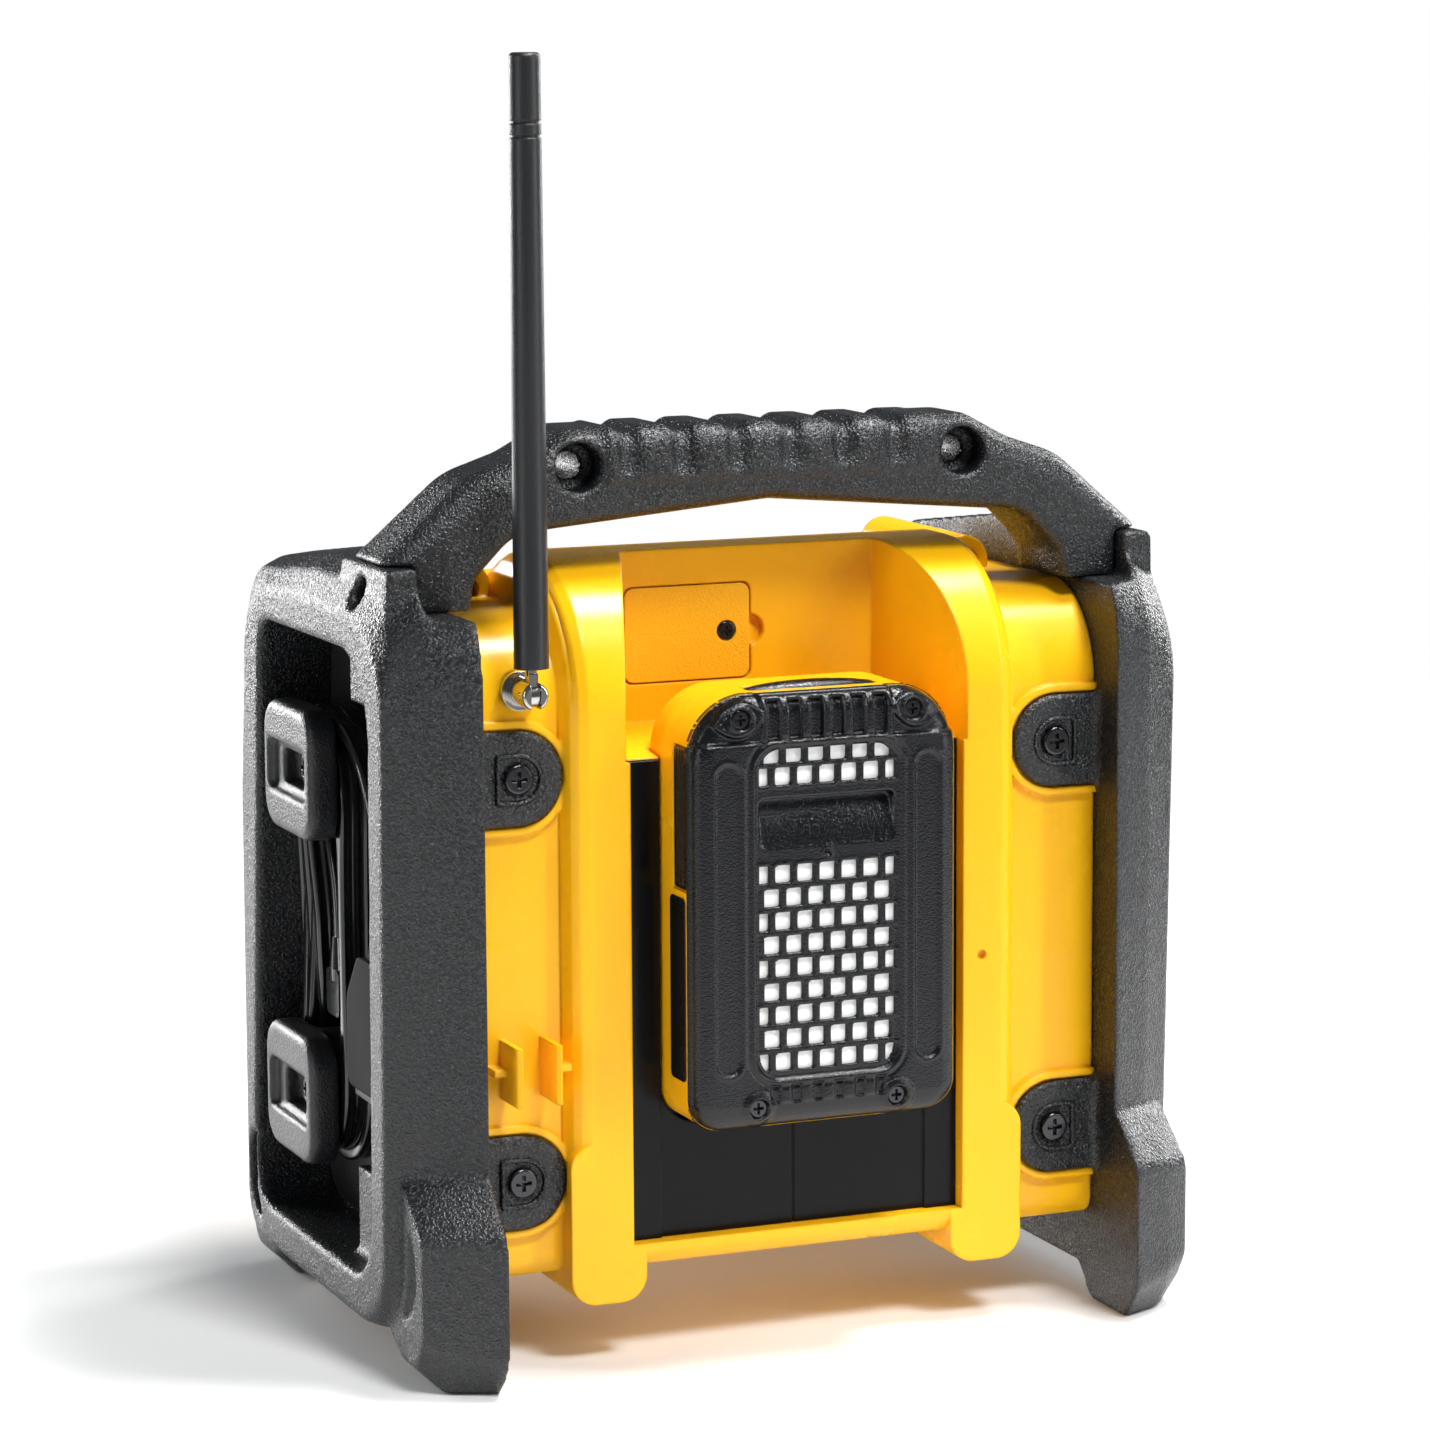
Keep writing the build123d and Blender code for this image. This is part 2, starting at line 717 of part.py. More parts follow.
with BuildPart() as rear_cavity:
    with BuildSketch(Plane.YZ.offset(-inner_half)):
        with BuildLine():
            FilletPolyline(
                (split_y, housing_bottom + wall),
                (rear_y - wall, housing_bottom + wall),
                (rear_y - wall, housing_top - wall),
                (split_y, housing_top - wall),
                radius=[0, 4, rear_round - wall, 0],
                close=True,
            )
        make_face()
    extrude(amount=2 * inner_half)
    with BuildSketch(Plane.YZ.offset(wall - hump_half)):
        with BuildLine():
            FilletPolyline(
                *inset_points(hump_profile, wall),
                radius=[0, 10, hump_round - wall, 3, 0],
                close=True,
            )
        make_face()
    extrude(amount=2 * (hump_half - wall))
    # Walls that stay round the scoop and the dock
    with BuildSketch(Plane.XY.offset(ledge_front - wall)):
        with BuildLine():
            Polyline(
                (-scoop_half - wall, scoop_back - 2 * wall),
                (scoop_half + wall, scoop_back - 2 * wall),
                (scoop_mouth + wall, hump_y + 5),
                (-scoop_mouth - wall, hump_y + 5),
                close=True,
            )
        make_face()
    extrude(amount=80, mode=Mode.SUBTRACT)
    with BuildSketch(rear_plane(hump_y + 5)):
        with Locations((0, (dock_bottom + dock_top) / 2)):
            Rectangle(2 * (dock_half + wall), dock_top - dock_bottom + 2 * wall)
    extrude(amount=hump_y + 5 - dock_back + wall, mode=Mode.SUBTRACT)
    # Solid corners behind the screws of the lugs and of the shoulders
    with BuildSketch(rear_plane(rear_y)):
        with Locations(*lug_points()):
            Circle(lug_screw + 3.2)
    extrude(amount=lug_screw_length + 3, mode=Mode.SUBTRACT)
    with BuildSketch(rear_plane(boss_end)):
        with Locations((boss_x, boss_z), (-boss_x, boss_z)):
            Circle(boss_radius)
    extrude(amount=boss_end - split_y, mode=Mode.SUBTRACT)
    with BuildSketch(rear_plane(rear_y)):
        with Locations((antenna_x, antenna_z)):
            Circle(bush_radius + 1.5)
    extrude(amount=8, mode=Mode.SUBTRACT)
    with BuildSketch(rear_plane(scoop_back)):
        with Locations((cover_screw_x, cover_z)):
            Circle(cover_screw_boss)
    extrude(amount=10, mode=Mode.SUBTRACT)

with BuildPart() as hump:
    for plane_x, inset in hump_planes:
        with BuildSketch(Plane.YZ.offset(plane_x)):
            with BuildLine():
                FilletPolyline(
                    *inset_points(hump_profile, inset),
                    radius=[0, 10, hump_round, 7, 0],
                    close=True,
                )
            make_face()
    loft(ruled=True)

with BuildPart() as rear_housing:
    with BuildSketch(Plane.YZ.offset(-housing_half)):
        with BuildLine():
            FilletPolyline(
                (split_y, housing_bottom),
                (rear_y, housing_bottom),
                (rear_y, housing_top),
                (split_y, housing_top),
                radius=[0, 6, rear_round, 0],
                close=True,
            )
        make_face()
    extrude(amount=2 * housing_half)
    add(hump.part)
    for side in (1, -1):
        with BuildSketch(rear_plane(hump_y)):
            with Locations((side * (lobe_inner + hump_half) / 2, (lobe_bottom + 60) / 2)):
                RectangleRounded(hump_half - lobe_inner, 60 - lobe_bottom, 7)
        extrude(amount=hump_y - 24)
    with BuildSketch(rear_plane(boss_end)):
        with Locations((boss_x, boss_z), (-boss_x, boss_z)):
            Circle(boss_radius)
    extrude(amount=boss_end - split_y)
    # Raised rims that frame the lugs
    with BuildSketch(rear_plane(rear_y + lug_rim_height)):
        lug_face(lug_radius + lug_rim)
        for side in (1, -1):
            with Locations((side * (frame_inner + 10), 100)):
                Rectangle(20.4, 240, mode=Mode.SUBTRACT)
    extrude(amount=lug_rim_height)
    with BuildSketch(rear_plane(rear_y + lug_thickness)):
        lug_face(lug_radius + run_gap)
    extrude(amount=lug_thickness, mode=Mode.SUBTRACT)
    # Clips that hold the folded antenna, with a rib to the hump
    for side in (1, -1):
        with BuildSketch(Plane.XY.offset(clip_low)):
            with BuildLine():
                inner = antenna_x + side * clip_gap
                Polyline(
                    (inner, rear_y - 0.5),
                    (inner + side * clip_wall, rear_y - 0.5),
                    (inner + side * clip_wall, clip_reach),
                    (inner + side * 0.6, clip_reach + 1),
                    (inner - side * 0.2, clip_reach),
                    (inner, clip_reach - 1.2),
                    close=True,
                )
            make_face()
        extrude(amount=clip_height)
    with BuildSketch(Plane.XY.offset(clip_low + clip_height / 2 - 1)):
        with Locations(((hump_half + antenna_x - clip_gap) / 2 - 1, rear_y + 2.5)):
            Rectangle(antenna_x - clip_gap - hump_half, 6)
        with Locations((antenna_x + clip_gap + clip_wall + 1.5, rear_y + 2.5)):
            Rectangle(4, 6)
    extrude(amount=2)
    add(rear_cavity.part, mode=Mode.SUBTRACT)
    # Scoop with its sloping ledge
    with BuildSketch(Plane.XY.offset(ledge_front)):
        with BuildLine():
            Polyline(
                (-scoop_half, scoop_back),
                (scoop_half, scoop_back),
                (scoop_mouth + 2, hump_y + 5),
                (-scoop_mouth - 2, hump_y + 5),
                close=True,
            )
        make_face()
    extrude(amount=80, mode=Mode.SUBTRACT)
    with BuildSketch(Plane.YZ.offset(-dock_half)):
        with BuildLine():
            Polyline(
                (scoop_back - 1, ledge_front - 1),
                (scoop_back - 1, ledge_back),
                (dock_face, ledge_front + 0.4),
                (dock_face, ledge_front - 1),
                close=True,
            )
        make_face()
    extrude(amount=2 * dock_half)
    with BuildSketch(rear_plane(hump_y + 5)):
        with Locations((0, (dock_bottom + ledge_front) / 2)):
            Rectangle(2 * dock_half, ledge_front - dock_bottom)
    extrude(amount=hump_y + 5 - dock_back, mode=Mode.SUBTRACT)
    with BuildSketch(Plane.XY.offset(ledge_front - 1)):
        with Locations((0, dock_floor + 10)):
            Rectangle(2 * (pack_half + 0.7), 20)
        with Locations((0, (slot_floor + dock_floor + 1) / 2)):
            Rectangle(2 * slot_half, dock_floor + 1 - slot_floor)
    extrude(amount=30, mode=Mode.SUBTRACT)
    # Recess and opening of the backup cell, with a finger notch
    with BuildSketch(rear_plane(scoop_back)):
        with Locations((cover_x, cover_z)):
            RectangleRounded(cover_width + 2 * cover_gap, cover_height + 2 * cover_gap, cover_corner)
        with Locations((cover_left - cover_width, cover_z)):
            Circle(4.2)
    extrude(amount=cover_thickness + fit_gap, mode=Mode.SUBTRACT)
    with BuildSketch(rear_plane(scoop_back)):
        with Locations((coin_x, cover_z)):
            Rectangle(cover_width - 15, cover_height - 3)
    extrude(amount=2 * wall + 0.1, mode=Mode.SUBTRACT)
    with BuildSketch(rear_plane(tab_y + tab_thickness + fit_gap)):
        with Locations(*[(cover_left + 0.5, z) for z in tab_z]):
            Rectangle(2 * tab_reach + 1.6, tab_width + 1)
    extrude(amount=tab_thickness + tab_swing, mode=Mode.SUBTRACT)
    with BuildSketch(rear_plane(hump_y)):
        with Locations((mark_x, mark_z)):
            Circle(mark_radius)
    extrude(amount=mark_depth, mode=Mode.SUBTRACT)
    # Holes: lug screws, shoulder screws, antenna bush, cover screw, socket
    with BuildSketch(rear_plane(rear_y)):
        with Locations(*lug_points()):
            Circle(lug_screw)
    extrude(amount=lug_screw_length - 1, mode=Mode.SUBTRACT)
    with BuildSketch(rear_plane(boss_end)):
        with Locations((boss_x, boss_z), (-boss_x, boss_z)):
            Circle(boss_screw_head + 0.6)
    extrude(amount=boss_screw_depth, mode=Mode.SUBTRACT)
    with BuildSketch(rear_plane(boss_end)):
        with Locations((boss_x, boss_z), (-boss_x, boss_z)):
            Circle(boss_screw)
    extrude(amount=boss_end - split_y, mode=Mode.SUBTRACT)
    with BuildSketch(rear_plane(rear_y)):
        with Locations((antenna_x, antenna_z)):
            Circle(bush_radius)
    extrude(amount=8, mode=Mode.SUBTRACT)
    with BuildSketch(rear_plane(scoop_back)):
        with Locations((cover_screw_x, cover_z)):
            Circle(cover_screw + 0.65)
    extrude(amount=cover_screw_reach + 3, mode=Mode.SUBTRACT)
    with BuildSketch(Plane.YZ.offset(-inner_half + 1)):
        with Locations((flap_y, flap_z)):
            Circle(jack_body + fit_gap / 2)
    extrude(amount=-wall - 2, mode=Mode.SUBTRACT)
rear_housing.part.label = "rear_housing"
export_step(rear_housing.part, "parts/rear_housing.step")

for name, y, direction in (("rear", rear_y, 1), ("front", front_y, -1)):
    seat_y = y + direction * (lug_thickness - lug_inset_depth - 0.8)
    with BuildPart() as lug_screws:
        for x, z in lug_points():
            with Locations(Plane(origin=(x, seat_y, z), z_dir=(0, direction, 0))):
                add(screw_shape(lug_screw_head, 2.0, lug_screw, lug_screw_length))
    lug_screws.part.label = f"lug_screws_{name}"
    export_step(lug_screws.part, f"parts/lug_screws_{name}.step")

with BuildPart() as shoulder_screws:
    for side in (1, -1):
        seat = Plane(origin=(side * boss_x, boss_end - boss_screw_depth, boss_z), z_dir=(0, 1, 0))
        with Locations(seat):
            add(screw_shape(boss_screw_head, 2.2, boss_screw, 34))
shoulder_screws.part.label = "shoulder_screws"
export_step(shoulder_screws.part, "parts/shoulder_screws.step")

# ---- Battery dock -----------------------------------------------------------
with BuildPart() as dock_tray:
    with BuildSketch(rear_plane(dock_face)):
        with Locations((0, (dock_bottom + dock_top) / 2)):
            Rectangle(2 * (dock_half - fit_gap), dock_top - dock_bottom - fit_gap)
    extrude(amount=dock_face - dock_back - fit_gap)
    # Shallow band between the side rails, with its middle groove
    with BuildSketch(rear_plane(dock_face)):
        with Locations((0, (dock_bottom + dock_top) / 2)):
            Rectangle(2 * (pack_half + 0.7), dock_top - dock_bottom + 10)
    extrude(amount=1, mode=Mode.SUBTRACT)
    with BuildSketch(rear_plane(dock_face)):
        with Locations((0, (dock_bottom + pack_low) / 2)):
            Rectangle(0.8, pack_low - dock_bottom + 4)
    extrude(amount=1.6, mode=Mode.SUBTRACT)
    # Channel for the pack, with round lower corners
    with BuildSketch(rear_plane(dock_face)):
        with Locations((0, (pack_low - 2 + dock_top + 40) / 2)):
            RectangleRounded(2 * (pack_half + 0.7), dock_top + 42 - pack_low, 12)
    extrude(amount=dock_face - dock_floor, mode=Mode.SUBTRACT)
    # Slot for the rail, narrowed by lips that hold its flanges
    with BuildSketch(rear_plane(dock_floor)):
        with Locations((0, (pack_low - 1.5 + dock_top + 10) / 2)):
            Rectangle(2 * slot_half, dock_top + 10 - pack_low + 1.5)
    extrude(amount=dock_floor - slot_floor, mode=Mode.SUBTRACT)
    for side in (1, -1):
        with BuildSketch(rear_plane(dock_floor)):
            with Locations((side * (lip_half + slot_half + 1) / 2, (lip_low + lip_high) / 2)):
                Rectangle(slot_half + 1 - lip_half, lip_high - lip_low)
        extrude(amount=dock_floor - lip_floor)
dock_tray.part.label = "dock_tray"
export_step(dock_tray.part, "parts/dock_tray.step")

with BuildPart() as terminal_block:
    with BuildSketch(rear_plane(slot_floor + 7.6)):
        with Locations((0, (block_low + block_top) / 2)):
            Rectangle(44, block_top - block_low)
    extrude(amount=7.4)
    with BuildSketch(Plane.XY.offset(block_top)):
        with Locations(*[(x, slot_floor + 3.6) for x in blade_x]):
            Rectangle(blade_thickness, 4)
    extrude(amount=-10, mode=Mode.SUBTRACT)
terminal_block.part.label = "terminal_block"
export_step(terminal_block.part, "parts/terminal_block.step")

with BuildPart() as terminal_blades:
    with BuildSketch(Plane.XY.offset(block_top - 10)):
        with Locations(*[(x, slot_floor + 3.6) for x in blade_x]):
            Rectangle(blade_thickness, 4)
    extrude(amount=blade_top - block_top + 10)
terminal_blades.part.label = "terminal_blades"
export_step(terminal_blades.part, "parts/terminal_blades.step")

# ---- Battery pack -----------------------------------------------------------
pack_radii = [9, 9, 17, 17]
shell_planes = [(pack_split, 0), (pack_split + 3.4, 0.5), (pack_face - 1.2, 1.6), (pack_face, 3.6)]


def pack_outline(inset):
    """Outline of the pack in X and Z, moved inwards by inset"""
    half = pack_half - inset
    return [
        (-half, pack_low + inset),
        (half, pack_low + inset),
        (half, pack_high - inset),
        (-half, pack_high - inset),
    ]


def pack_sketch(y, inset):
    """Sketch of the pack's outline at depth y"""
    with BuildSketch(rear_plane(y)) as outline:
        with BuildLine():
            FilletPolyline(
                *pack_outline(inset),
                radius=[radius - 0.6 * inset for radius in pack_radii],
                close=True,
            )
        make_face()
    return outline.sketch


pack_screw_points = [(24.3, 172.0), (-24.3, 172.0), (19.7, 69.6), (-19.7, 69.6)]

with BuildPart() as pack_inner:
    with BuildSketch(rear_plane(pack_split)):
        add(pack_sketch(0, 0))
    extrude(amount=pack_split - pack_back)
    # Rail: a neck with wider flanges
    with BuildSketch(rear_plane(pack_back)):
        with Locations((0, (rail_low + rail_high) / 2)):
            Rectangle(2 * rail_half, rail_high - rail_low)
    extrude(amount=pack_back - rail_back)
    with BuildSketch(rear_plane(rail_neck)):
        with Locations((0, (rail_low + rail_high) / 2)):
            Rectangle(2 * rail_flange, rail_high - rail_low)
    extrude(amount=rail_neck - rail_back)
    # Slots for the terminal blades
    with BuildSketch(Plane.XY.offset(rail_low)):
        with Locations(*[(x, slot_floor + 3.6) for x in blade_x]):
            Rectangle(blade_thickness + 1, 8)
    extrude(amount=blade_top - rail_low + 2, mode=Mode.SUBTRACT)
    # Cavity for the cells, with the bosses of the four screws left standing
    with BuildSketch(rear_plane(pack_split)):
        add(pack_sketch(0, pack_wall))
        with Locations(*pack_screw_points):
            Circle(pack_boss, mode=Mode.SUBTRACT)
    extrude(amount=pack_split - pack_back - pack_wall, mode=Mode.SUBTRACT)
    with BuildSketch(rear_plane(pack_split)):
        with Locations(*pack_screw_points):
            Circle(pack_screw)
    extrude(amount=15, mode=Mode.SUBTRACT)
    # Slot of the latch, and the seats of the grip panels on both sides
    with BuildSketch(Plane.XY.offset(pack_high + 1)):
        with Locations((0, latch_y)):
            RectangleRounded(2 * (latch_half + run_gap), latch_depth + 2 * run_gap, 2)
    extrude(amount=-pack_wall - 3, mode=Mode.SUBTRACT)
    for side in (1, -1):
        with BuildSketch(Plane.YZ.offset(side * pack_half)):
            with Locations(((pack_split + grip_panel_y) / 2, (grip_panel_low + grip_panel_high) / 2)):
                Rectangle(pack_split - grip_panel_y, grip_panel_high - grip_panel_low)
        extrude(amount=-side * 0.8, mode=Mode.SUBTRACT)
pack_inner.part.label = "pack_inner_shell"
export_step(pack_inner.part, "parts/pack_inner_shell.step")

with BuildPart() as pack_outer:
    for plane_y, inset in shell_planes:
        with BuildSketch(rear_plane(plane_y)):
            add(pack_sketch(0, inset))
    loft(ruled=True)
    # Ribbed grip panels that wrap round the sides
    for side in (1, -1):
        with BuildSketch(Plane.YZ.offset(side * pack_half)):
            with Locations(((pack_split + grip_panel_y) / 2, (grip_panel_low + grip_panel_high) / 2)):
                Rectangle(
                    pack_split - grip_panel_y - fit_gap,
                    grip_panel_high - grip_panel_low - 2 * fit_gap,
                )
        extrude(amount=-side * 0.8)
        with BuildSketch(Plane.YZ.offset(side * (pack_half - 0.8))):
            with Locations((pack_split, (grip_panel_low + grip_panel_high) / 2)):
                Rectangle(2, grip_panel_high - grip_panel_low - 2 * fit_gap)
        extrude(amount=side * 0.8)
    with BuildSketch(rear_plane(pack_split)):
        add(pack_sketch(0, pack_wall))
        with Locations(*pack_screw_points):
            Circle(pack_boss + 0.8, mode=Mode.SUBTRACT)
    extrude(amount=pack_split - pack_face + grid_depth + mesh_plate, mode=Mode.SUBTRACT)
    # Recessed window with the grid of holes
    with BuildSketch(rear_plane(pack_face)):
        with Locations((0, (grid_low + grid_high) / 2)):
            RectangleRounded(2 * grid_half + 1.6, grid_high - grid_low, 5)
    extrude(amount=grid_depth, mode=Mode.SUBTRACT)
    with BuildSketch(rear_plane(pack_face)):
        heights = [mesh_first - row * mesh_pitch_z for row in range(mesh_rows)]
        for row, z in enumerate(heights + mesh_upper):
            shift = 0.5 * mesh_pitch_x if row in mesh_offset_rows else 0
            count = 6 if shift else 7
            first = -(count - 1) / 2 * mesh_pitch_x
            with Locations(*[(first + index * mesh_pitch_x, z) for index in range(count)]):
                RectangleRounded(mesh_hole_x, mesh_hole_z, 0.8)
        with Locations((0, (grid_low + grid_high) / 2)):
            Rectangle(2 * grid_half, grid_high - grid_low - 1.2, mode=Mode.INTERSECT)
    extrude(amount=pack_face - pack_split, mode=Mode.SUBTRACT)
    # Finger groove across the window, and the small round vent under it
    with BuildSketch(Plane.YZ.offset(-grid_half + 0.4)):
        with BuildLine():
            Polyline(
                (pack_face + 1, finger_high),
                (pack_face - grid_depth - 1.6, finger_high - 1),
                (pack_face - grid_depth, finger_low),
                (pack_face + 1, finger_low),
                close=True,
            )
        make_face()
    extrude(amount=2 * grid_half - 0.8, mode=Mode.SUBTRACT)
    with BuildSketch(Plane.YZ.offset(-grid_half + 0.4)):
        with BuildLine():
            Polyline(
                (pack_face - grid_depth, finger_low - 3),
                (pack_face - grid_depth, finger_high + 2),
                (pack_face - grid_depth - 1.2, finger_high + 2),
                (pack_face - grid_depth - 2.8, finger_high - 0.4),
                (pack_face - grid_depth - 2.8, finger_high - 2.4),
                (pack_face - grid_depth - 1.2, finger_low - 3),
                close=True,
            )
        make_face()
        with BuildLine():
            Polyline(
                (pack_face + 1, finger_high),
                (pack_face - grid_depth - 1.6, finger_high - 1),
                (pack_face - grid_depth, finger_low),
                (pack_face + 1, finger_low),
                close=True,
            )
        make_face(mode=Mode.SUBTRACT)
    extrude(amount=2 * grid_half - 0.8)
    with BuildSketch(rear_plane(pack_face)):
        with Locations((0, finger_low - 1.6)):
            Circle(0.7)
    extrude(amount=pack_face - pack_split, mode=Mode.SUBTRACT)
    # Ribs along the upper edge, and the seats of the screws
    with BuildSketch(rear_plane(pack_face + 0.1)):
        with Locations(*[(x, rib_z) for x in rib_x]):
            Rectangle(rib_width, rib_height)
    extrude(amount=2)
    with BuildSketch(rear_plane(pack_face)):
        with Locations(*[(side * label_x, (label_low + label_high) / 2) for side in (1, -1)]):
            RectangleRounded(label_width, label_high - label_low, label_width / 2 - 0.1)
    extrude(amount=label_depth, mode=Mode.SUBTRACT)
    # Skirt that falls away under the window
    with BuildSketch(Plane.YZ.offset(-pack_half - 1)):
        with BuildLine():
            Polyline(
                (pack_face, skirt_top),
                (pack_face + 1, skirt_top),
                (pack_face + 1, pack_low - 1),
                (pack_face - skirt_drop, pack_low - 1),
                close=True,
            )
        make_face()
    extrude(amount=2 * pack_half + 2, mode=Mode.SUBTRACT)
    with BuildSketch(rear_plane(pack_face + 1)):
        with Locations(*pack_screw_points):
            Circle(pack_screw_head + 0.5)
    extrude(amount=pack_screw_sunk + 1, mode=Mode.SUBTRACT)
    with BuildSketch(rear_plane(pack_face)):
        with Locations(*pack_screw_points):
            Circle(pack_screw)
    extrude(amount=pack_face - pack_split, mode=Mode.SUBTRACT)
pack_outer.part.label = "pack_outer_shell"
export_step(pack_outer.part, "parts/pack_outer_shell.step")

with BuildPart() as pack_screws:
    for x, z in pack_screw_points:
        seat_y = pack_face - pack_screw_sunk
        with Locations(Plane(origin=(x, seat_y, z), z_dir=(0, 1, 0))):
            add(screw_shape(pack_screw_head, 1.6, pack_screw, 16))
pack_screws.part.label = "pack_screws"
export_step(pack_screws.part, "parts/pack_screws.step")

with BuildPart() as pack_carrier:
    with BuildSketch(rear_plane(carrier_face)):
        with Locations((0, (carrier_low + carrier_high) / 2)):
            RectangleRounded(
                2 * (pack_half - pack_wall - fit_gap),
                carrier_high - carrier_low,
                carrier_corner,
            )
    extrude(amount=carrier_plate)
    pad_face = pack_face - grid_depth - mesh_plate - 0.1
    for low, high in pad_heights:
        with BuildSketch(rear_plane(pad_face)):
            with Locations((0, (low + high) / 2)):
                Rectangle(2 * pad_half, high - low)
        extrude(amount=pad_face - carrier_face)
    for side in (1, -1):
        wall_x = side * (pack_half - pack_wall - fit_gap - 1)
        with BuildSketch(rear_plane(carrier_face)):
            with Locations((wall_x, (carrier_low + carrier_high) / 2)):
                Rectangle(2, carrier_high - carrier_low - 2 * carrier_corner)
        extrude(amount=carrier_face - pack_back - pack_wall)
pack_carrier.part.label = "pack_cell_carrier"
export_step(pack_carrier.part, "parts/pack_cell_carrier.step")

with BuildPart() as pack_cells:
    for index in range(cell_count):
        with Locations(Location((0, cell_y, cell_low + index * cell_pitch), (0, 90, 0))):
            Cylinder(cell_radius, cell_length)
pack_cells.part.label = "pack_cells"
export_step(pack_cells.part, "parts/pack_cells.step")

with BuildPart() as pack_latch:
    with BuildSketch(Plane.XY.offset(latch_top)):
        with Locations((0, latch_y)):
            RectangleRounded(2 * latch_half, latch_depth, 1.8)
    extrude(amount=-latch_height)
    fillet(pack_latch.faces().sort_by(Axis.Z)[-1].edges(), 0.8)
    # Foot that keeps the button in the pack
    with BuildSketch(Plane.XY.offset(latch_top - latch_height)):
        with Locations((0, latch_y - 0.8)):
            Rectangle(2 * latch_half + 3, latch_depth - 1.6)
    extrude(amount=1.4)
pack_latch.part.label = "pack_latch"
export_step(pack_latch.part, "parts/pack_latch.step")

# ---- Backup cell ------------------------------------------------------------
with BuildPart() as cell_cover:
    with BuildSketch(rear_plane(scoop_back)):
        with Locations((cover_x, cover_z)):
            RectangleRounded(cover_width, cover_height, cover_corner)
    extrude(amount=cover_thickness)
    with BuildSketch(rear_plane(tab_y + tab_thickness)):
        with Locations(*[(cover_left, z) for z in tab_z]):
            Rectangle(2 * tab_reach, tab_width)
    extrude(amount=tab_thickness)
    with BuildSketch(rear_plane(scoop_back)):
        with Locations((cover_screw_x, cover_z)):
            Circle(cover_screw_head + 0.3)
    extrude(amount=1, mode=Mode.SUBTRACT)
    with BuildSketch(rear_plane(scoop_back)):
        with Locations((cover_screw_x, cover_z)):
            Circle(cover_screw)
    extrude(amount=cover_thickness, mode=Mode.SUBTRACT)
cell_cover.part.label = "cell_cover"
export_step(cell_cover.part, "parts/cell_cover.step")

with BuildPart() as cell_cover_screw:
    with Locations(Plane(origin=(cover_screw_x, scoop_back - 1, cover_z), z_dir=(0, 1, 0))):
        add(screw_shape(cover_screw_head, 1.2, cover_screw, cover_screw_reach))
cell_cover_screw.part.label = "cell_cover_screw"
export_step(cell_cover_screw.part, "parts/cell_cover_screw.step")

holder_front = scoop_back - 2 * wall
with BuildPart() as coin_holder:
    with BuildSketch(rear_plane(holder_front)):
        with Locations((coin_x + 0.8, cover_z)):
            Rectangle(holder_width, holder_height)
    extrude(amount=coin_thickness + holder_floor)
    with BuildSketch(rear_plane(holder_front)):
        with Locations((coin_x, cover_z)):
            Circle(coin_radius + 0.2)
    extrude(amount=coin_thickness + 1, mode=Mode.SUBTRACT)
coin_holder.part.label = "coin_holder"
export_step(coin_holder.part, "parts/coin_holder.step")

with BuildPart() as coin_cell:
    with BuildSketch(rear_plane(holder_front - 1)):
        with Locations((coin_x, cover_z)):
            Circle(coin_radius)
    extrude(amount=coin_thickness)
coin_cell.part.label = "coin_cell"
export_step(coin_cell.part, "parts/coin_cell.step")

# ---- Antenna ----------------------------------------------------------------
with BuildPart() as antenna_bush:
    with BuildSketch(rear_plane(rear_y + 1.6)):
        with Locations((antenna_x, antenna_z)):
            Circle(bush_radius + 0.5)
    extrude(amount=1.6)
    with BuildSketch(rear_plane(rear_y)):
        with Locations((antenna_x, antenna_z)):
            Circle(bush_radius)
    extrude(amount=7.8)
    with BuildSketch(rear_plane(knuckle_base)):
        with Locations((antenna_x, antenna_z)):
            Circle(bush_radius - 0.8)
            Circle(2.2, mode=Mode.SUBTRACT)
    extrude(amount=knuckle_base - rear_y - 1.6)
    with BuildSketch(rear_plane(rear_y + 1.6)):
        with Locations((antenna_x, antenna_z)):
            Circle(2.2)
    extrude(amount=4, mode=Mode.SUBTRACT)
antenna_bush.part.label = "antenna_bush"
export_step(antenna_bush.part, "parts/antenna_bush.step")

with BuildPart() as antenna_knuckle:
    with BuildSketch(rear_plane(knuckle_end)):
        with Locations((antenna_x, antenna_z)):
            Circle(knuckle_radius)
    extrude(amount=knuckle_end - knuckle_base - 0.1)
    fillet(antenna_knuckle.faces().sort_by(Axis.Y)[-1].edges(), 0.9)
    with BuildSketch(rear_plane(knuckle_base + 0.2)):
        with Locations((antenna_x, antenna_z)):
            Circle(2.0)
    extrude(amount=5.2)
    with BuildSketch(Plane.YZ.offset(antenna_x - tongue / 2 - 0.15)):
        with Locations(((slot_start + knuckle_end + 2) / 2, antenna_z)):
            Rectangle(knuckle_end + 2 - slot_start, 12)
    extrude(amount=tongue + 0.3, mode=Mode.SUBTRACT)
    with BuildSketch(Plane.YZ.offset(antenna_x - 5)):
        with Locations((antenna_y, antenna_z)):
            Circle(pin_radius)
    extrude(amount=10, mode=Mode.SUBTRACT)
antenna_knuckle.part.label = "antenna_knuckle"
export_step(antenna_knuckle.part, "parts/antenna_knuckle.step")

with BuildPart() as antenna_pin:
    with BuildSketch(Plane.YZ.offset(antenna_x - knuckle_radius - 0.1)):
        with Locations((antenna_y, antenna_z)):
            Circle(pin_radius)
    extrude(amount=2 * knuckle_radius + 0.2)
antenna_pin.part.label = "antenna_pin"
export_step(antenna_pin.part, "parts/antenna_pin.step")

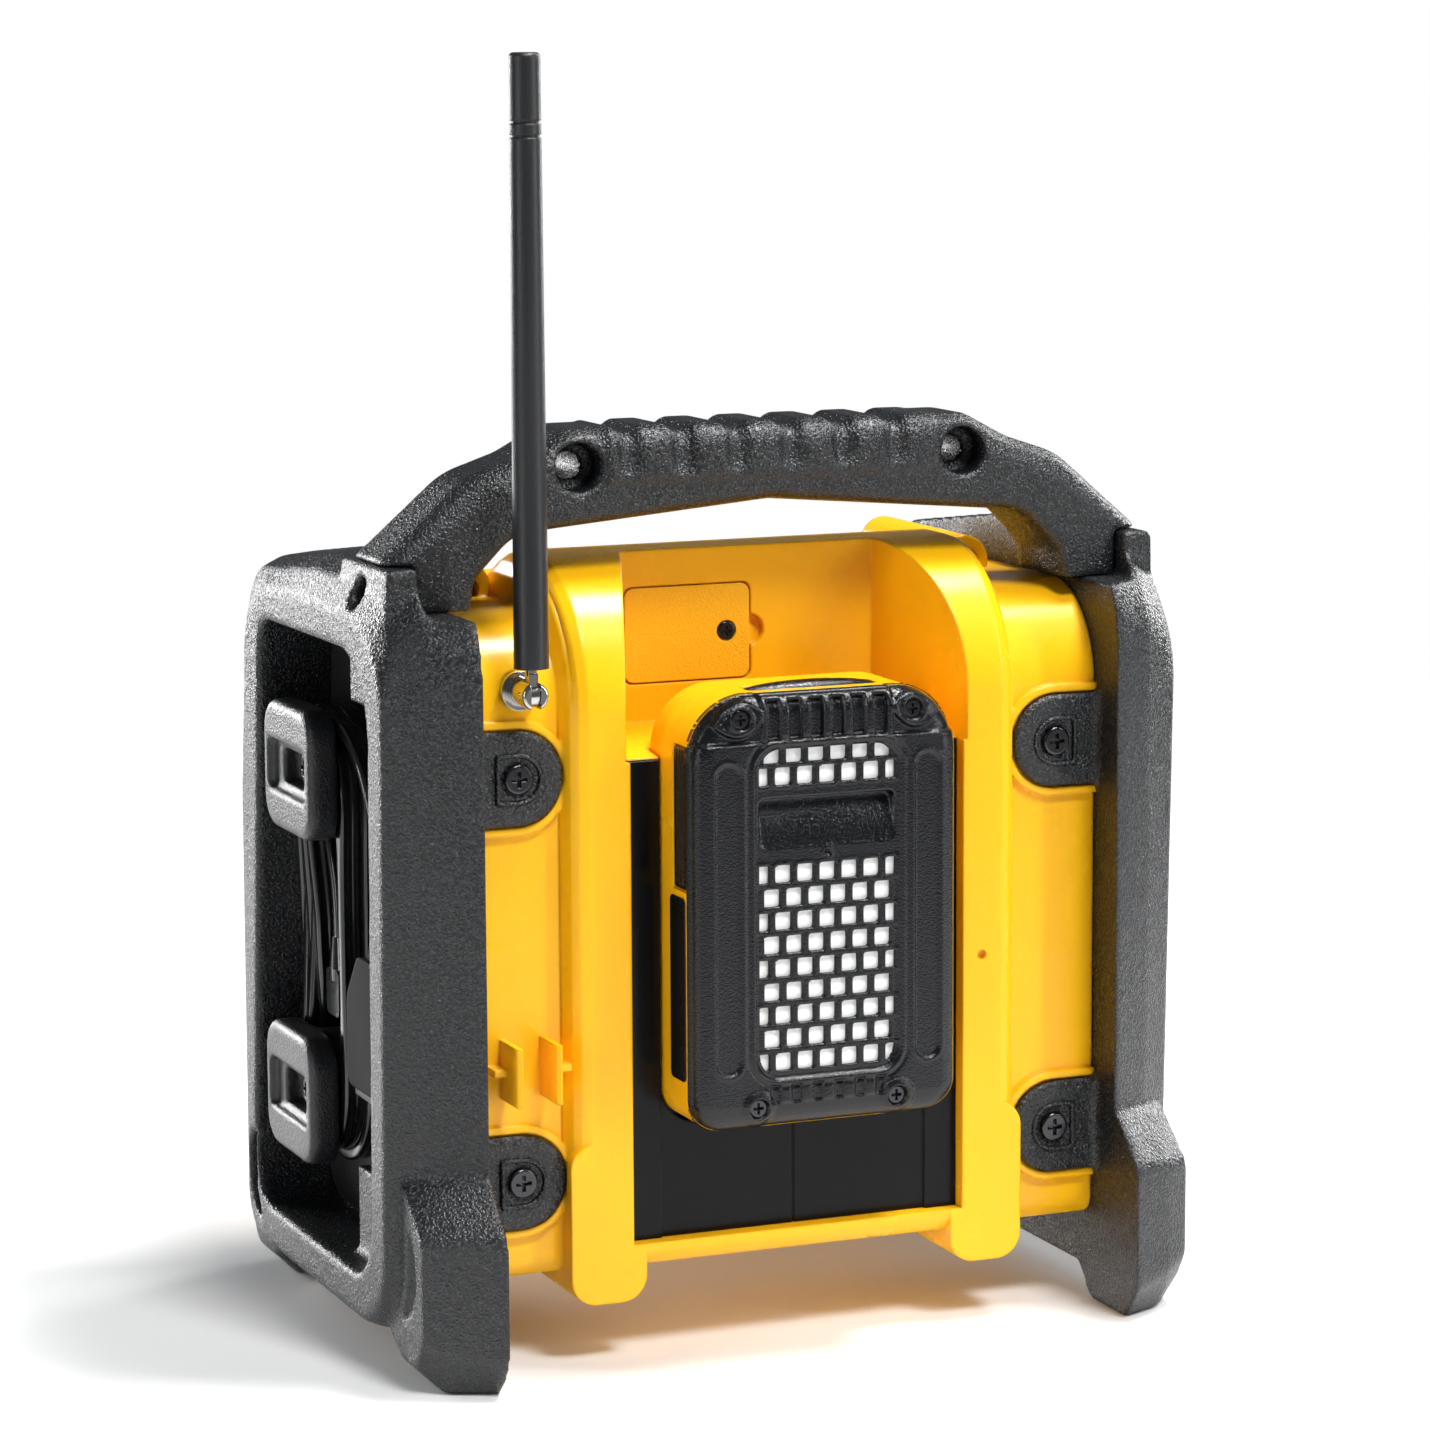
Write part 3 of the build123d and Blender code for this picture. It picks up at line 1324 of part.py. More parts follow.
with BuildPart() as antenna_rod:
    with BuildSketch(Plane.YZ.offset(antenna_x - tongue / 2)):
        with Locations((antenna_y, antenna_z)):
            Circle(tongue_radius)
        with Locations((antenna_y, antenna_z + tongue_top / 2)):
            Rectangle(tongue_width, tongue_top)
        with Locations((antenna_y, antenna_z)):
            Circle(pin_radius + 0.1, mode=Mode.SUBTRACT)
    extrude(amount=tongue)
    with Locations((antenna_x, antenna_y, antenna_z + rod_start)):
        Cylinder(rod_radius, rod_end - antenna_z - rod_start, align=(Align.CENTER, Align.CENTER, Align.MIN))
antenna_rod.part.label = "antenna_rod"
export_step(antenna_rod.part, "parts/antenna_rod.step")

with BuildPart() as antenna_sleeve:
    with Locations((antenna_x, antenna_y, sleeve_low)):
        Cone(
            sleeve_radius_low,
            sleeve_radius_high,
            sleeve_high - sleeve_low,
            align=(Align.CENTER, Align.CENTER, Align.MIN),
        )
    fillet(antenna_sleeve.edges().filter_by(GeomType.CIRCLE).sort_by(Axis.Z)[-1], 1.2)
    for z in sleeve_rings:
        with BuildSketch(Plane.XY.offset(z)):
            with Locations((antenna_x, antenna_y)):
                Circle(sleeve_radius_low + 1)
                Circle(sleeve_radius_high - 0.35, mode=Mode.SUBTRACT)
        extrude(amount=0.8, mode=Mode.SUBTRACT)
    with Locations((antenna_x, antenna_y, sleeve_low)):
        Cylinder(
            rod_radius,
            rod_end - sleeve_low,
            align=(Align.CENTER, Align.CENTER, Align.MIN),
            mode=Mode.SUBTRACT,
        )
antenna_sleeve.part.label = "antenna_sleeve"
export_step(antenna_sleeve.part, "parts/antenna_sleeve.step")

# ---- Cord side --------------------------------------------------------------
with BuildPart() as cord_panel:
    with BuildSketch(Plane.YZ.offset(housing_half)):
        with BuildLine():
            FilletPolyline(
                (window[0][0] - 0.3, window_bottom + 0.3),
                (window[1][0] - 0.3, window_top - 0.3),
                (window_front_high + 0.3, window_top - 1.3),
                (window_front_low + 0.3, window_bottom + 0.3),
                radius=window_radii,
                close=True,
            )
        make_face()
        # Clear of the blocks in the rear corners of the frame
        for low, high in ((corner_block_top, window_top + 4), (window_bottom - 4, corner_block_low)):
            with Locations(((corner_block_front + rear_pillar) / 2, (low + high) / 2)):
                Rectangle(
                    rear_pillar - corner_block_front + 0.6,
                    high - low + 0.6,
                    mode=Mode.SUBTRACT,
                )
    extrude(amount=panel_thickness)
    # Shelf that carries the plug, with holes for its pins
    with BuildSketch(Plane.XY.offset(shelf_top)):
        with Locations(((panel_face + shelf_reach) / 2, plug_y)):
            Rectangle(shelf_reach - panel_face, plug_width - 3)
        with Locations((plug_x, plug_y + plug_pin_pitch / 2), (plug_x, plug_y - plug_pin_pitch / 2)):
            Circle(plug_pin + 0.4, mode=Mode.SUBTRACT)
    extrude(amount=-2.6)
    with BuildSketch(Plane.YZ.offset(housing_half)):
        with Locations(*zip(cleat_y, cleat_z)):
            Circle(cleat_screw)
    extrude(amount=panel_thickness, mode=Mode.SUBTRACT)
    with BuildSketch(Plane.YZ.offset(panel_face)):
        with Locations((post_y, gland_z + gland_base / 2)):
            RectangleRounded(11, gland_base, 2)
    extrude(amount=-1.4, mode=Mode.SUBTRACT)
cord_panel.part.label = "cord_panel"
export_step(cord_panel.part, "parts/cord_panel.step")

for name, index in (("lower", 0), ("upper", 1)):
    with BuildPart() as cleat:
        with BuildSketch(Plane.YZ.offset(panel_face)):
            with Locations((post_y, post_z[index])):
                Circle(post_radius)
        extrude(amount=flange_inner - panel_face)
        with BuildSketch(Plane.YZ.offset(flange_inner)):
            with Locations((cleat_y[index], cleat_z[index])):
                RectangleRounded(flange_y, flange_z, flange_corner)
        extrude(amount=flange_outer - flange_inner)
        fillet(cleat.faces().sort_by(Axis.X)[-1].edges(), 2.2)
        with BuildSketch(Plane.YZ.offset(flange_outer)):
            with Locations((cleat_y[index], cleat_z[index])):
                RectangleRounded(dish_y, dish_z, 2.5)
        extrude(amount=-dish_depth, mode=Mode.SUBTRACT)
        with BuildSketch(Plane.YZ.offset(flange_outer - dish_depth)):
            with Locations((cleat_y[index], cleat_z[index])):
                RectangleRounded(dish_hole_y, dish_hole_z, 1)
        extrude(amount=-dish_hole_depth, mode=Mode.SUBTRACT)
        with BuildSketch(Plane.YZ.offset(flange_outer)):
            with Locations((cleat_y[index], cleat_z[index])):
                Circle(cleat_screw)
        extrude(amount=panel_face - flange_outer, mode=Mode.SUBTRACT)
    cleat.part.label = f"cord_cleat_{name}"
    export_step(cleat.part, f"parts/cord_cleat_{name}.step")

cleat_seat = flange_outer - dish_depth - dish_hole_depth
with BuildPart() as cleat_screws:
    for y, z in zip(cleat_y, cleat_z):
        with Locations(Plane(origin=(cleat_seat, y, z), z_dir=(1, 0, 0))):
            add(screw_shape(cleat_screw_head, 2.2, cleat_screw, cleat_seat - cleat_screw_tip))
cleat_screws.part.label = "cleat_screws"
export_step(cleat_screws.part, "parts/cleat_screws.step")

with BuildPart() as cord_gland:
    with BuildSketch(Plane.YZ.offset(panel_face - 1.4)):
        with Locations((post_y, gland_z + gland_base / 2)):
            RectangleRounded(10.8, gland_base - 0.2, 1.9)
    extrude(amount=gland_x + 3.6 - panel_face + 1.4)
    for z, half_x, half_y in gland_steps:
        with BuildSketch(Plane.XY.offset(z)):
            with Locations((gland_x, post_y)):
                RectangleRounded(2 * half_x, 2 * half_y, min(half_x, half_y) - 0.1)
    loft(ruled=True)
cord_gland.part.label = "cord_gland"
export_step(cord_gland.part, "parts/cord_gland.step")


def stadium(radius):
    """Outline of the wound cord in Y and Z: two half rounds joined by straights"""
    SlotCenterToCenter(post_z[1] - post_z[0], 2 * radius, rotation=90)


hank_middle = (post_y, (post_z[0] + post_z[1]) / 2)
with BuildPart() as cord_hank:
    with BuildSketch(Plane.YZ.offset(hank_back)):
        with Locations(hank_middle):
            stadium(hank_outer)
            SlotCenterToCenter(
                post_z[1] - post_z[0],
                2 * hank_inner,
                rotation=90,
                mode=Mode.SUBTRACT,
            )
    extrude(amount=hank_front - hank_back)
    # Shallow grooves between the turns
    for layer in range(1, hank_layers):
        radius = hank_inner + layer * cord_thickness
        with BuildSketch(Plane.YZ.offset(hank_front)):
            with Locations(hank_middle):
                stadium(radius + hank_gap / 2)
                SlotCenterToCenter(
                    post_z[1] - post_z[0],
                    2 * radius - hank_gap,
                    rotation=90,
                    mode=Mode.SUBTRACT,
                )
        extrude(amount=-1, mode=Mode.SUBTRACT)
cord_hank.part.label = "cord_hank"
export_step(cord_hank.part, "parts/cord_hank.step")


def cord_radii(points):
    """Radius of each bend: 0.45 of the shorter run beside it over tan of half the turn"""
    radii = []
    for before, here, after in zip(points, points[1:], points[2:]):
        first = (here[0] - before[0], here[1] - before[1])
        second = (after[0] - here[0], after[1] - here[1])
        turn = math.atan2(
            first[0] * second[1] - first[1] * second[0],
            first[0] * second[0] + first[1] * second[1],
        )
        run = min(math.hypot(*first), math.hypot(*second))
        radii.append(round(0.45 * run / math.tan(abs(turn) / 2), 3))
    return radii


def cord_piece(name, x, points):
    """Flat cord along points in Y and Z at depth x, with its wide side along X"""
    radii = cord_radii(points)
    print(name, "bend radii", radii)
    start = (x, points[0][0], points[0][1])
    along = (0, points[1][0] - points[0][0], points[1][1] - points[0][1])
    with BuildPart() as piece:
        with BuildLine(Plane.YZ.offset(x)) as route:
            FilletPolyline(*points, radius=radii)
        with BuildSketch(Plane(origin=start, x_dir=(1, 0, 0), z_dir=along)):
            RectangleRounded(cord_width, cord_thickness, cord_thickness / 2 - 0.05)
        sweep(path=route.line)
    return piece.part


with BuildPart() as cord_lead:
    add(cord_piece("cord_lead", gland_x, lead_points))
    with BuildSketch(Plane.YZ.offset(gland_x - 5)):
        with Locations((post_y - hank_inner - 20, 130)):
            Rectangle(40, 60)
    extrude(amount=10, mode=Mode.SUBTRACT)
cord_lead.part.label = "cord_lead"
export_step(cord_lead.part, "parts/cord_lead.step")

with BuildPart() as cord_tail:
    add(cord_piece("cord_tail", plug_x, tail_points))
    with BuildSketch(Plane.YZ.offset(plug_x - 5)):
        with Locations(hank_middle):
            stadium(hank_outer)
    extrude(amount=10, mode=Mode.SUBTRACT)
    with BuildSketch(Plane.XY.offset(plug_top + plug_boot)):
        with Locations((plug_x, plug_y)):
            Rectangle(20, 20)
    extrude(amount=-20, mode=Mode.SUBTRACT)
cord_tail.part.label = "cord_tail"
export_step(cord_tail.part, "parts/cord_tail.step")

with BuildPart() as mains_plug:
    with BuildSketch(Plane.YZ.offset(plug_x - plug_thickness / 2)):
        with BuildLine():
            FilletPolyline(
                (plug_y - plug_width / 2, plug_top - plug_height),
                (plug_y + plug_width / 2, plug_top - plug_height),
                (plug_y + plug_width / 2, plug_top - 12),
                (plug_y + 8, plug_top),
                (plug_y - 8, plug_top),
                (plug_y - plug_width / 2, plug_top - 12),
                radius=[4, 4, 8, 3, 3, 8],
                close=True,
            )
        make_face()
    extrude(amount=plug_thickness)
    for z, half_x, half_y in ((plug_top - 1, 5.4, 6.4), (plug_top + plug_boot, 3.6, 3.2)):
        with BuildSketch(Plane.XY.offset(z)):
            with Locations((plug_x, plug_y)):
                RectangleRounded(2 * half_x, 2 * half_y, 2.4)
    loft(ruled=True)
mains_plug.part.label = "mains_plug"
export_step(mains_plug.part, "parts/mains_plug.step")

with BuildPart() as plug_pins:
    for side in (1, -1):
        with Locations((plug_x, plug_y + side * plug_pin_pitch / 2, plug_top - plug_height)):
            Cylinder(plug_pin, plug_pin_length, align=(Align.CENTER, Align.CENTER, Align.MAX))
    fillet(plug_pins.edges().filter_by(GeomType.CIRCLE).group_by(Axis.Z)[0], 1)
plug_pins.part.label = "plug_pins"
export_step(plug_pins.part, "parts/plug_pins.step")

# ---- Far side: auxiliary socket under a hinged flap --------------------------
with BuildPart() as side_panel:
    with BuildSketch(Plane.YZ.offset(-housing_half)):
        with BuildLine():
            FilletPolyline(
                (window[0][0] - 0.3, window_bottom + 0.3),
                (window[1][0] - 0.3, window_top - 0.3),
                (window_front_high + 0.3, window_top - 1.3),
                (window_front_low + 0.3, window_bottom + 0.3),
                radius=window_radii,
                close=True,
            )
        make_face()
        for low, high in ((corner_block_top, window_top + 4), (window_bottom - 4, corner_block_low)):
            with Locations(((corner_block_front + rear_pillar) / 2, (low + high) / 2)):
                Rectangle(
                    rear_pillar - corner_block_front + 0.6,
                    high - low + 0.6,
                    mode=Mode.SUBTRACT,
                )
        with Locations((flap_y, flap_z)):
            Circle(jack_body + 0.1, mode=Mode.SUBTRACT)
    extrude(amount=-panel_thickness)
    # Collar round the socket and the two ears of the flap
    with BuildSketch(Plane.YZ.offset(-panel_face)):
        with Locations((flap_y, flap_z)):
            Circle(jack_body + 3)
            Circle(jack_body + 0.1, mode=Mode.SUBTRACT)
    extrude(amount=-1.4)
    for side in (1, -1):
        with BuildSketch(Plane.XZ.offset(-flap_y - side * (flap_width / 2 + 1.4))):
            with Locations((-panel_face - 1.2, flap_hinge_z)):
                Rectangle(2.4, 5)
            with Locations((-panel_face - 2.4, flap_hinge_z)):
                Circle(2.5)
            with Locations((-panel_face - 2.4, flap_hinge_z)):
                Circle(1.2, mode=Mode.SUBTRACT)
        extrude(amount=1, both=True)
side_panel.part.label = "side_panel"
export_step(side_panel.part, "parts/side_panel.step")

with BuildPart() as aux_jack:
    with BuildSketch(Plane.YZ.offset(-panel_face - 1.4)):
        with Locations((flap_y, flap_z)):
            Circle(jack_body)
    extrude(amount=jack_depth)
    with BuildSketch(Plane.YZ.offset(-inner_half)):
        with Locations((flap_y, flap_z)):
            Rectangle(13, 13)
    extrude(amount=9)
    with BuildSketch(Plane.YZ.offset(-panel_face - 1.4)):
        with Locations((flap_y, flap_z)):
            Circle(jack_radius)
    extrude(amount=jack_depth - 1, mode=Mode.SUBTRACT)
    with BuildSketch(Plane.YZ.offset(-panel_face - 1.4)):
        with Locations((flap_y, flap_z)):
            Circle(jack_body - 1)
    extrude(amount=1.8, mode=Mode.SUBTRACT)
aux_jack.part.label = "aux_jack"
export_step(aux_jack.part, "parts/aux_jack.step")

with BuildPart() as aux_flap:
    with BuildSketch(Plane.YZ.offset(-panel_face - 1.8)):
        with Locations((flap_y, (flap_hinge_z + flap_low) / 2)):
            RectangleRounded(flap_width, flap_hinge_z - flap_low, 3)
    extrude(amount=-flap_thickness)
    with Locations(Location((-panel_face - 2.4, flap_y, flap_hinge_z), (90, 0, 0))):
        Cylinder(2.2, flap_width)
        Cylinder(1.0, flap_width + 4.4)
    with BuildSketch(Plane.YZ.offset(-panel_face - 2)):
        with Locations((flap_y, flap_z)):
            Circle(jack_radius - 0.3)
    extrude(amount=1.6)
    with BuildSketch(Plane.YZ.offset(-panel_face - 2)):
        with Locations((flap_y, flap_low + 1)):
            Rectangle(8, 4)
    extrude(amount=-flap_thickness - 1)
aux_flap.part.label = "aux_flap"
export_step(aux_flap.part, "parts/aux_flap.step")

# ---- Front housing ----------------------------------------------------------
with BuildPart() as front_cavity:
    with BuildSketch(Plane.YZ.offset(-inner_half)):
        with BuildLine():
            FilletPolyline(
                (split_y, housing_bottom + wall),
                (split_y, housing_top - wall),
                (front_y + wall, housing_top - wall),
                (front_y + wall, housing_bottom + wall),
                radius=[0, 0, front_round - wall, 4],
                close=True,
            )
        make_face()
    extrude(amount=2 * inner_half)
    # Solid round the screws, and posts that carry the main board
    with BuildSketch(front_plane(front_y)):
        with Locations(*[(-x, z) for x, z in lug_points()]):
            Circle(lug_screw + 3.2)
    extrude(amount=lug_screw_length + 3, mode=Mode.SUBTRACT)
    with BuildSketch(rear_plane(split_y)):
        with Locations((boss_x, boss_z), (-boss_x, boss_z)):
            Circle(boss_radius)
    extrude(amount=split_y - boss_front, mode=Mode.SUBTRACT)
    with BuildSketch(rear_plane(board_y)):
        with Locations(*board_posts):
            Circle(3)
    extrude(amount=board_y - front_y, mode=Mode.SUBTRACT)

with BuildPart() as front_housing:
    with BuildSketch(Plane.YZ.offset(-housing_half)):
        with BuildLine():
            FilletPolyline(
                (split_y, housing_bottom),
                (split_y, housing_top),
                (front_y, housing_top),
                (front_y, housing_bottom),
                radius=[0, 0, front_round, 6],
                close=True,
            )
        make_face()
    extrude(amount=2 * housing_half)
    with BuildSketch(rear_plane(split_y)):
        with Locations((boss_x, boss_z), (-boss_x, boss_z)):
            Circle(boss_radius)
    extrude(amount=split_y - boss_front)
    with BuildSketch(front_plane(front_y - lug_rim_height)):
        lug_face(lug_radius + lug_rim)
        for side in (1, -1):
            with Locations((side * (frame_inner + 10), 100)):
                Rectangle(20.4, 240, mode=Mode.SUBTRACT)
    extrude(amount=lug_rim_height)
    with BuildSketch(front_plane(front_y - lug_thickness)):
        lug_face(lug_radius + run_gap)
    extrude(amount=lug_thickness, mode=Mode.SUBTRACT)
    add(front_cavity.part, mode=Mode.SUBTRACT)
    with BuildSketch(front_plane(front_y)):
        with Locations(*[(-x, z) for x, z in lug_points()]):
            Circle(lug_screw)
    extrude(amount=lug_screw_length - 1, mode=Mode.SUBTRACT)
    with BuildSketch(rear_plane(split_y)):
        with Locations((boss_x, boss_z), (-boss_x, boss_z)):
            Circle(boss_screw)
    extrude(amount=20, mode=Mode.SUBTRACT)
    with BuildSketch(Plane.YZ.offset(inner_half - 1)):
        with Locations(*zip(cleat_y, cleat_z)):
            Circle(cleat_screw)
    extrude(amount=wall + 2, mode=Mode.SUBTRACT)
    # Opening behind the fascia, and the two speaker openings with their seats
    with BuildSketch(front_plane(front_y - 1)):
        with Locations((0, (fascia_low + fascia_high) / 2)):
            RectangleRounded(
                2 * (fascia_half - fascia_lip),
                fascia_high - fascia_low - 2 * fascia_lip,
                fascia_corner - 3,
            )
    extrude(amount=wall + 1.1, mode=Mode.SUBTRACT)
    with BuildSketch(front_plane(front_y - 1)):
        with Locations((speaker_x, speaker_z), (-speaker_x, speaker_z)):
            Circle(speaker_hole)
    extrude(amount=wall + 1.1, mode=Mode.SUBTRACT)
    with BuildSketch(front_plane(front_y - 1)):
        with Locations((speaker_x, speaker_z), (-speaker_x, speaker_z)):
            Circle(grille_radius + fit_gap)
    extrude(amount=grille_seat + 1, mode=Mode.SUBTRACT)
front_housing.part.label = "front_housing"
export_step(front_housing.part, "parts/front_housing.step")

# ---- Control fascia ---------------------------------------------------------
fascia_middle = (fascia_low + fascia_high) / 2
with BuildPart() as fascia:
    with BuildSketch(front_plane(front_y - fascia_proud)):
        with Locations((0, fascia_middle)):
            RectangleRounded(2 * fascia_half, fascia_high - fascia_low, fascia_corner)
    extrude(amount=fascia_proud)
    fillet(fascia.faces().sort_by(Axis.Y)[0].edges(), 0.8)
    with BuildSketch(front_plane(front_y)):
        with Locations((0, fascia_middle)):
            RectangleRounded(
                2 * (fascia_half - fascia_lip - fit_gap),
                fascia_high - fascia_low - 2 * (fascia_lip + fit_gap),
                fascia_corner - 3.2,
            )
    extrude(amount=wall)
    with BuildSketch(front_plane(front_y - fascia_proud)):
        with Locations((0, display_z)):
            RectangleRounded(2 * (display_half + fit_gap), display_height + 2 * fit_gap, 2.6)
    extrude(amount=window_glass, mode=Mode.SUBTRACT)
    with BuildSketch(front_plane(front_y - fascia_proud)):
        with Locations((0, display_z)):
            Rectangle(2 * (display_half - 2), display_height - 4)
        with Locations((knob_x, knob_z), (-knob_x, knob_z)):
            Circle(spindle + run_gap)
        with Locations(*[(x, button_z) for x in button_x]):
            RectangleRounded(button_width + 2 * run_gap, button_height + 2 * run_gap, 1.6)
    extrude(amount=fascia_proud + wall, mode=Mode.SUBTRACT)
    # Posts for the button board
    with BuildSketch(front_plane(front_y + wall)):
        with Locations(*[(x, button_z) for x in button_posts]):
            Circle(2.5)
    extrude(amount=button_board_y - front_y - wall)
fascia.part.label = "control_fascia"
export_step(fascia.part, "parts/control_fascia.step")

with BuildPart() as display_window:
    with BuildSketch(front_plane(front_y - fascia_proud)):
        with Locations((0, display_z)):
            RectangleRounded(2 * display_half, display_height, 2.4)
    extrude(amount=window_glass)
display_window.part.label = "display_window"
export_step(display_window.part, "parts/display_window.step")

with BuildPart() as display_module:
    with BuildSketch(front_plane(front_y + wall)):
        with Locations((0, display_z)):
            Rectangle(2 * display_half + 3, display_height + 3)
    extrude(amount=6)
    with BuildSketch(front_plane(front_y + wall)):
        with Locations((0, display_z)):
            Rectangle(2 * (display_half - 3), display_height - 6)
    extrude(amount=-2)
display_module.part.label = "display_module"
export_step(display_module.part, "parts/display_module.step")

button_face = front_y - fascia_proud - button_proud
for number, x in enumerate(button_x, start=1):
    with BuildPart() as button:
        with BuildSketch(front_plane(button_face)):
            with Locations((-x, button_z)):
                RectangleRounded(button_width, button_height, 1.4)
        extrude(amount=front_y + wall + 1.6 - button_face)
        fillet(button.faces().sort_by(Axis.Y)[0].edges(), 0.7)
        # Flange that keeps the button behind the fascia
        with BuildSketch(front_plane(front_y + wall + 0.2)):
            with Locations((-x, button_z)):
                Rectangle(button_width + 2.4, button_height + 2.4)
        extrude(amount=0.9)
    button.part.label = f"button_{number}"
    export_step(button.part, f"parts/button_{number}.step")

with BuildPart() as button_board:
    with BuildSketch(front_plane(button_board_y)):
        with Locations((0, button_z)):
            Rectangle(2 * button_posts[0] + 7, 13)
    extrude(amount=1.6)
    with BuildSketch(front_plane(button_board_y)):
        with Locations(*[(x, button_z) for x in button_x]):
            Rectangle(5, 5)
    extrude(amount=-(button_board_y - front_y - wall - 1.6 - button_travel - 0.05))
button_board.part.label = "button_board"
export_step(button_board.part, "parts/button_board.step")

for name, side in (("volume", 1), ("tuning", -1)):
    knob_plane = Plane(
        origin=(side * knob_x, front_y - fascia_proud - 0.8, knob_z),
        x_dir=(1, 0, 0),
        z_dir=(0, -1, 0),
    )
    with BuildPart() as knob:
        with BuildSketch(knob_plane):
            Circle(knob_radius)
            with PolarLocations(knob_radius + 0.5, knob_flutes):
                Circle(1.1, mode=Mode.SUBTRACT)
        extrude(amount=knob_height - 2)
        with BuildSketch(knob_plane.offset(knob_height - 2)):
            Circle(knob_radius - 1)
        extrude(amount=2)
        fillet(knob.faces().sort_by(Axis.Y)[0].edges(), 1.2)
        # Pointer groove, and the spindle at the back
        with BuildSketch(knob_plane.offset(knob_height)):
            with Locations((0, knob_radius - 5)):
                SlotOverall(5, 1.6, rotation=90)
        extrude(amount=-0.8, mode=Mode.SUBTRACT)
        with BuildSketch(knob_plane):
            Circle(spindle)
        extrude(amount=-(spindle_end - front_y + fascia_proud + 0.8))
    knob.part.label = f"{name}_knob"
    export_step(knob.part, f"parts/{name}_knob.step")

with BuildPart() as encoders:
    for side in (1, -1):
        with BuildSketch(front_plane(front_y + wall)):
            with Locations((side * knob_x, knob_z)):
                Rectangle(13, 13)
        extrude(amount=7)
        with BuildSketch(front_plane(front_y + wall)):
            with Locations((side * knob_x, knob_z)):
                Circle(spindle + 0.3)
        extrude(amount=6, mode=Mode.SUBTRACT)
encoders.part.label = "knob_encoders"
export_step(encoders.part, "parts/knob_encoders.step")

# ---- Speakers ---------------------------------------------------------------
for name, side in (("left", 1), ("right", -1)):
    with BuildPart() as grille:
        with BuildSketch(front_plane(front_y - grille_thickness + grille_seat)):
            with Locations((-side * speaker_x, speaker_z)):
                Circle(grille_radius)
        extrude(amount=grille_thickness)
        with BuildSketch(front_plane(front_y - grille_thickness + grille_seat)):
            with Locations((-side * speaker_x, speaker_z)):
                Circle(grille_hole)
                for ring in range(1, grille_rings):
                    with PolarLocations(ring * grille_step, 6 * ring):
                        Circle(grille_hole)
        extrude(amount=grille_thickness, mode=Mode.SUBTRACT)
    grille.part.label = f"speaker_grille_{name}"
    export_step(grille.part, f"parts/speaker_grille_{name}.step")

    centre = (side * speaker_x, front_y + wall, speaker_z)
    with BuildPart() as speaker:
        with BuildSketch(Plane(origin=centre, x_dir=(1, 0, 0), z_dir=(0, 0, 1))):
            with BuildLine():
                Polyline(*speaker_profile, close=True)
            make_face()
        revolve(axis=Axis(centre, (0, 1, 0)))
    speaker.part.label = f"speaker_{name}"
    export_step(speaker.part, f"parts/speaker_{name}.step")

# ---- Boards and transformer inside -------------------------------------------
with BuildPart() as main_board:
    with BuildSketch(front_plane(board_y)):
        with Locations((0, (board_low + board_high) / 2)):
            Rectangle(2 * board_half, board_high - board_low)
    extrude(amount=1.6)
    # Tuner can, heat sink and capacitors
    for x, z, width, height, depth in board_parts:
        with BuildSketch(front_plane(board_y + 1.6)):
            with Locations((x, z)):
                Rectangle(width, height)
        extrude(amount=depth)
    for x, z in board_capacitors:
        with BuildSketch(front_plane(board_y + 1.6)):
            with Locations((x, z)):
                Circle(5)
        extrude(amount=14)
main_board.part.label = "main_board"
export_step(main_board.part, "parts/main_board.step")

floor = housing_bottom + wall
with BuildPart() as transformer:
    with BuildSketch(Plane.XY.offset(floor)):
        with Locations((0, transformer_y)):
            Rectangle(2 * transformer_half + 16, 34)
    extrude(amount=1.6)
    with BuildSketch(Plane.XY.offset(floor)):
        with Locations((0, transformer_y)):
            Rectangle(2 * transformer_half, 22)
    extrude(amount=40)
    with BuildSketch(Plane.XY.offset(floor + 7)):
        with Locations((0, transformer_y)):
            RectangleRounded(2 * transformer_half - 14, 36, 5)
    extrude(amount=26)
transformer.part.label = "transformer"
export_step(transformer.part, "parts/transformer.step")
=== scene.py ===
"""Looks of the jobsite radio: black cage, yellow housing, battery, antenna and cord."""

import math

import bmesh
import bpy
import numpy as np
from bpy.props import FloatProperty, FloatVectorProperty, IntProperty, PointerProperty
from mathutils import Matrix, Vector


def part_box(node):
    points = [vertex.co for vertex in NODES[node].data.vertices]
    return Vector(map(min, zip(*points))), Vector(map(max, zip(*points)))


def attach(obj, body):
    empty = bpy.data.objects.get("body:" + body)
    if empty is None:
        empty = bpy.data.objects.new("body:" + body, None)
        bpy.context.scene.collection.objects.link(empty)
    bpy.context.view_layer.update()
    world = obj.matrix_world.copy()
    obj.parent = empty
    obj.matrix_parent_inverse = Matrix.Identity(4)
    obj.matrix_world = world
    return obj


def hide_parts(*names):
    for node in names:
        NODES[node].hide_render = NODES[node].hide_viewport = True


bl_info = {
    "name": "Jobsite Radio",
    "version": (1, 0, 0),
    "blender": (4, 5, 0),
    "location": "View3D > Sidebar > Radio",
    "description": "Builds the finished look of a jobsite radio round its CAD frame",
    "category": "Object",
}

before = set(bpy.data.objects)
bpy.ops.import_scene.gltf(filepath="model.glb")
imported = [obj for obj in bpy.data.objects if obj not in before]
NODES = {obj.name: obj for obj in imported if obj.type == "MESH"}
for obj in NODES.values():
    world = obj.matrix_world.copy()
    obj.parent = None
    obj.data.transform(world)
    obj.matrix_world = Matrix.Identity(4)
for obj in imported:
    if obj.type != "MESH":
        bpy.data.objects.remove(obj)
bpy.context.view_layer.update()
MM = 0.001

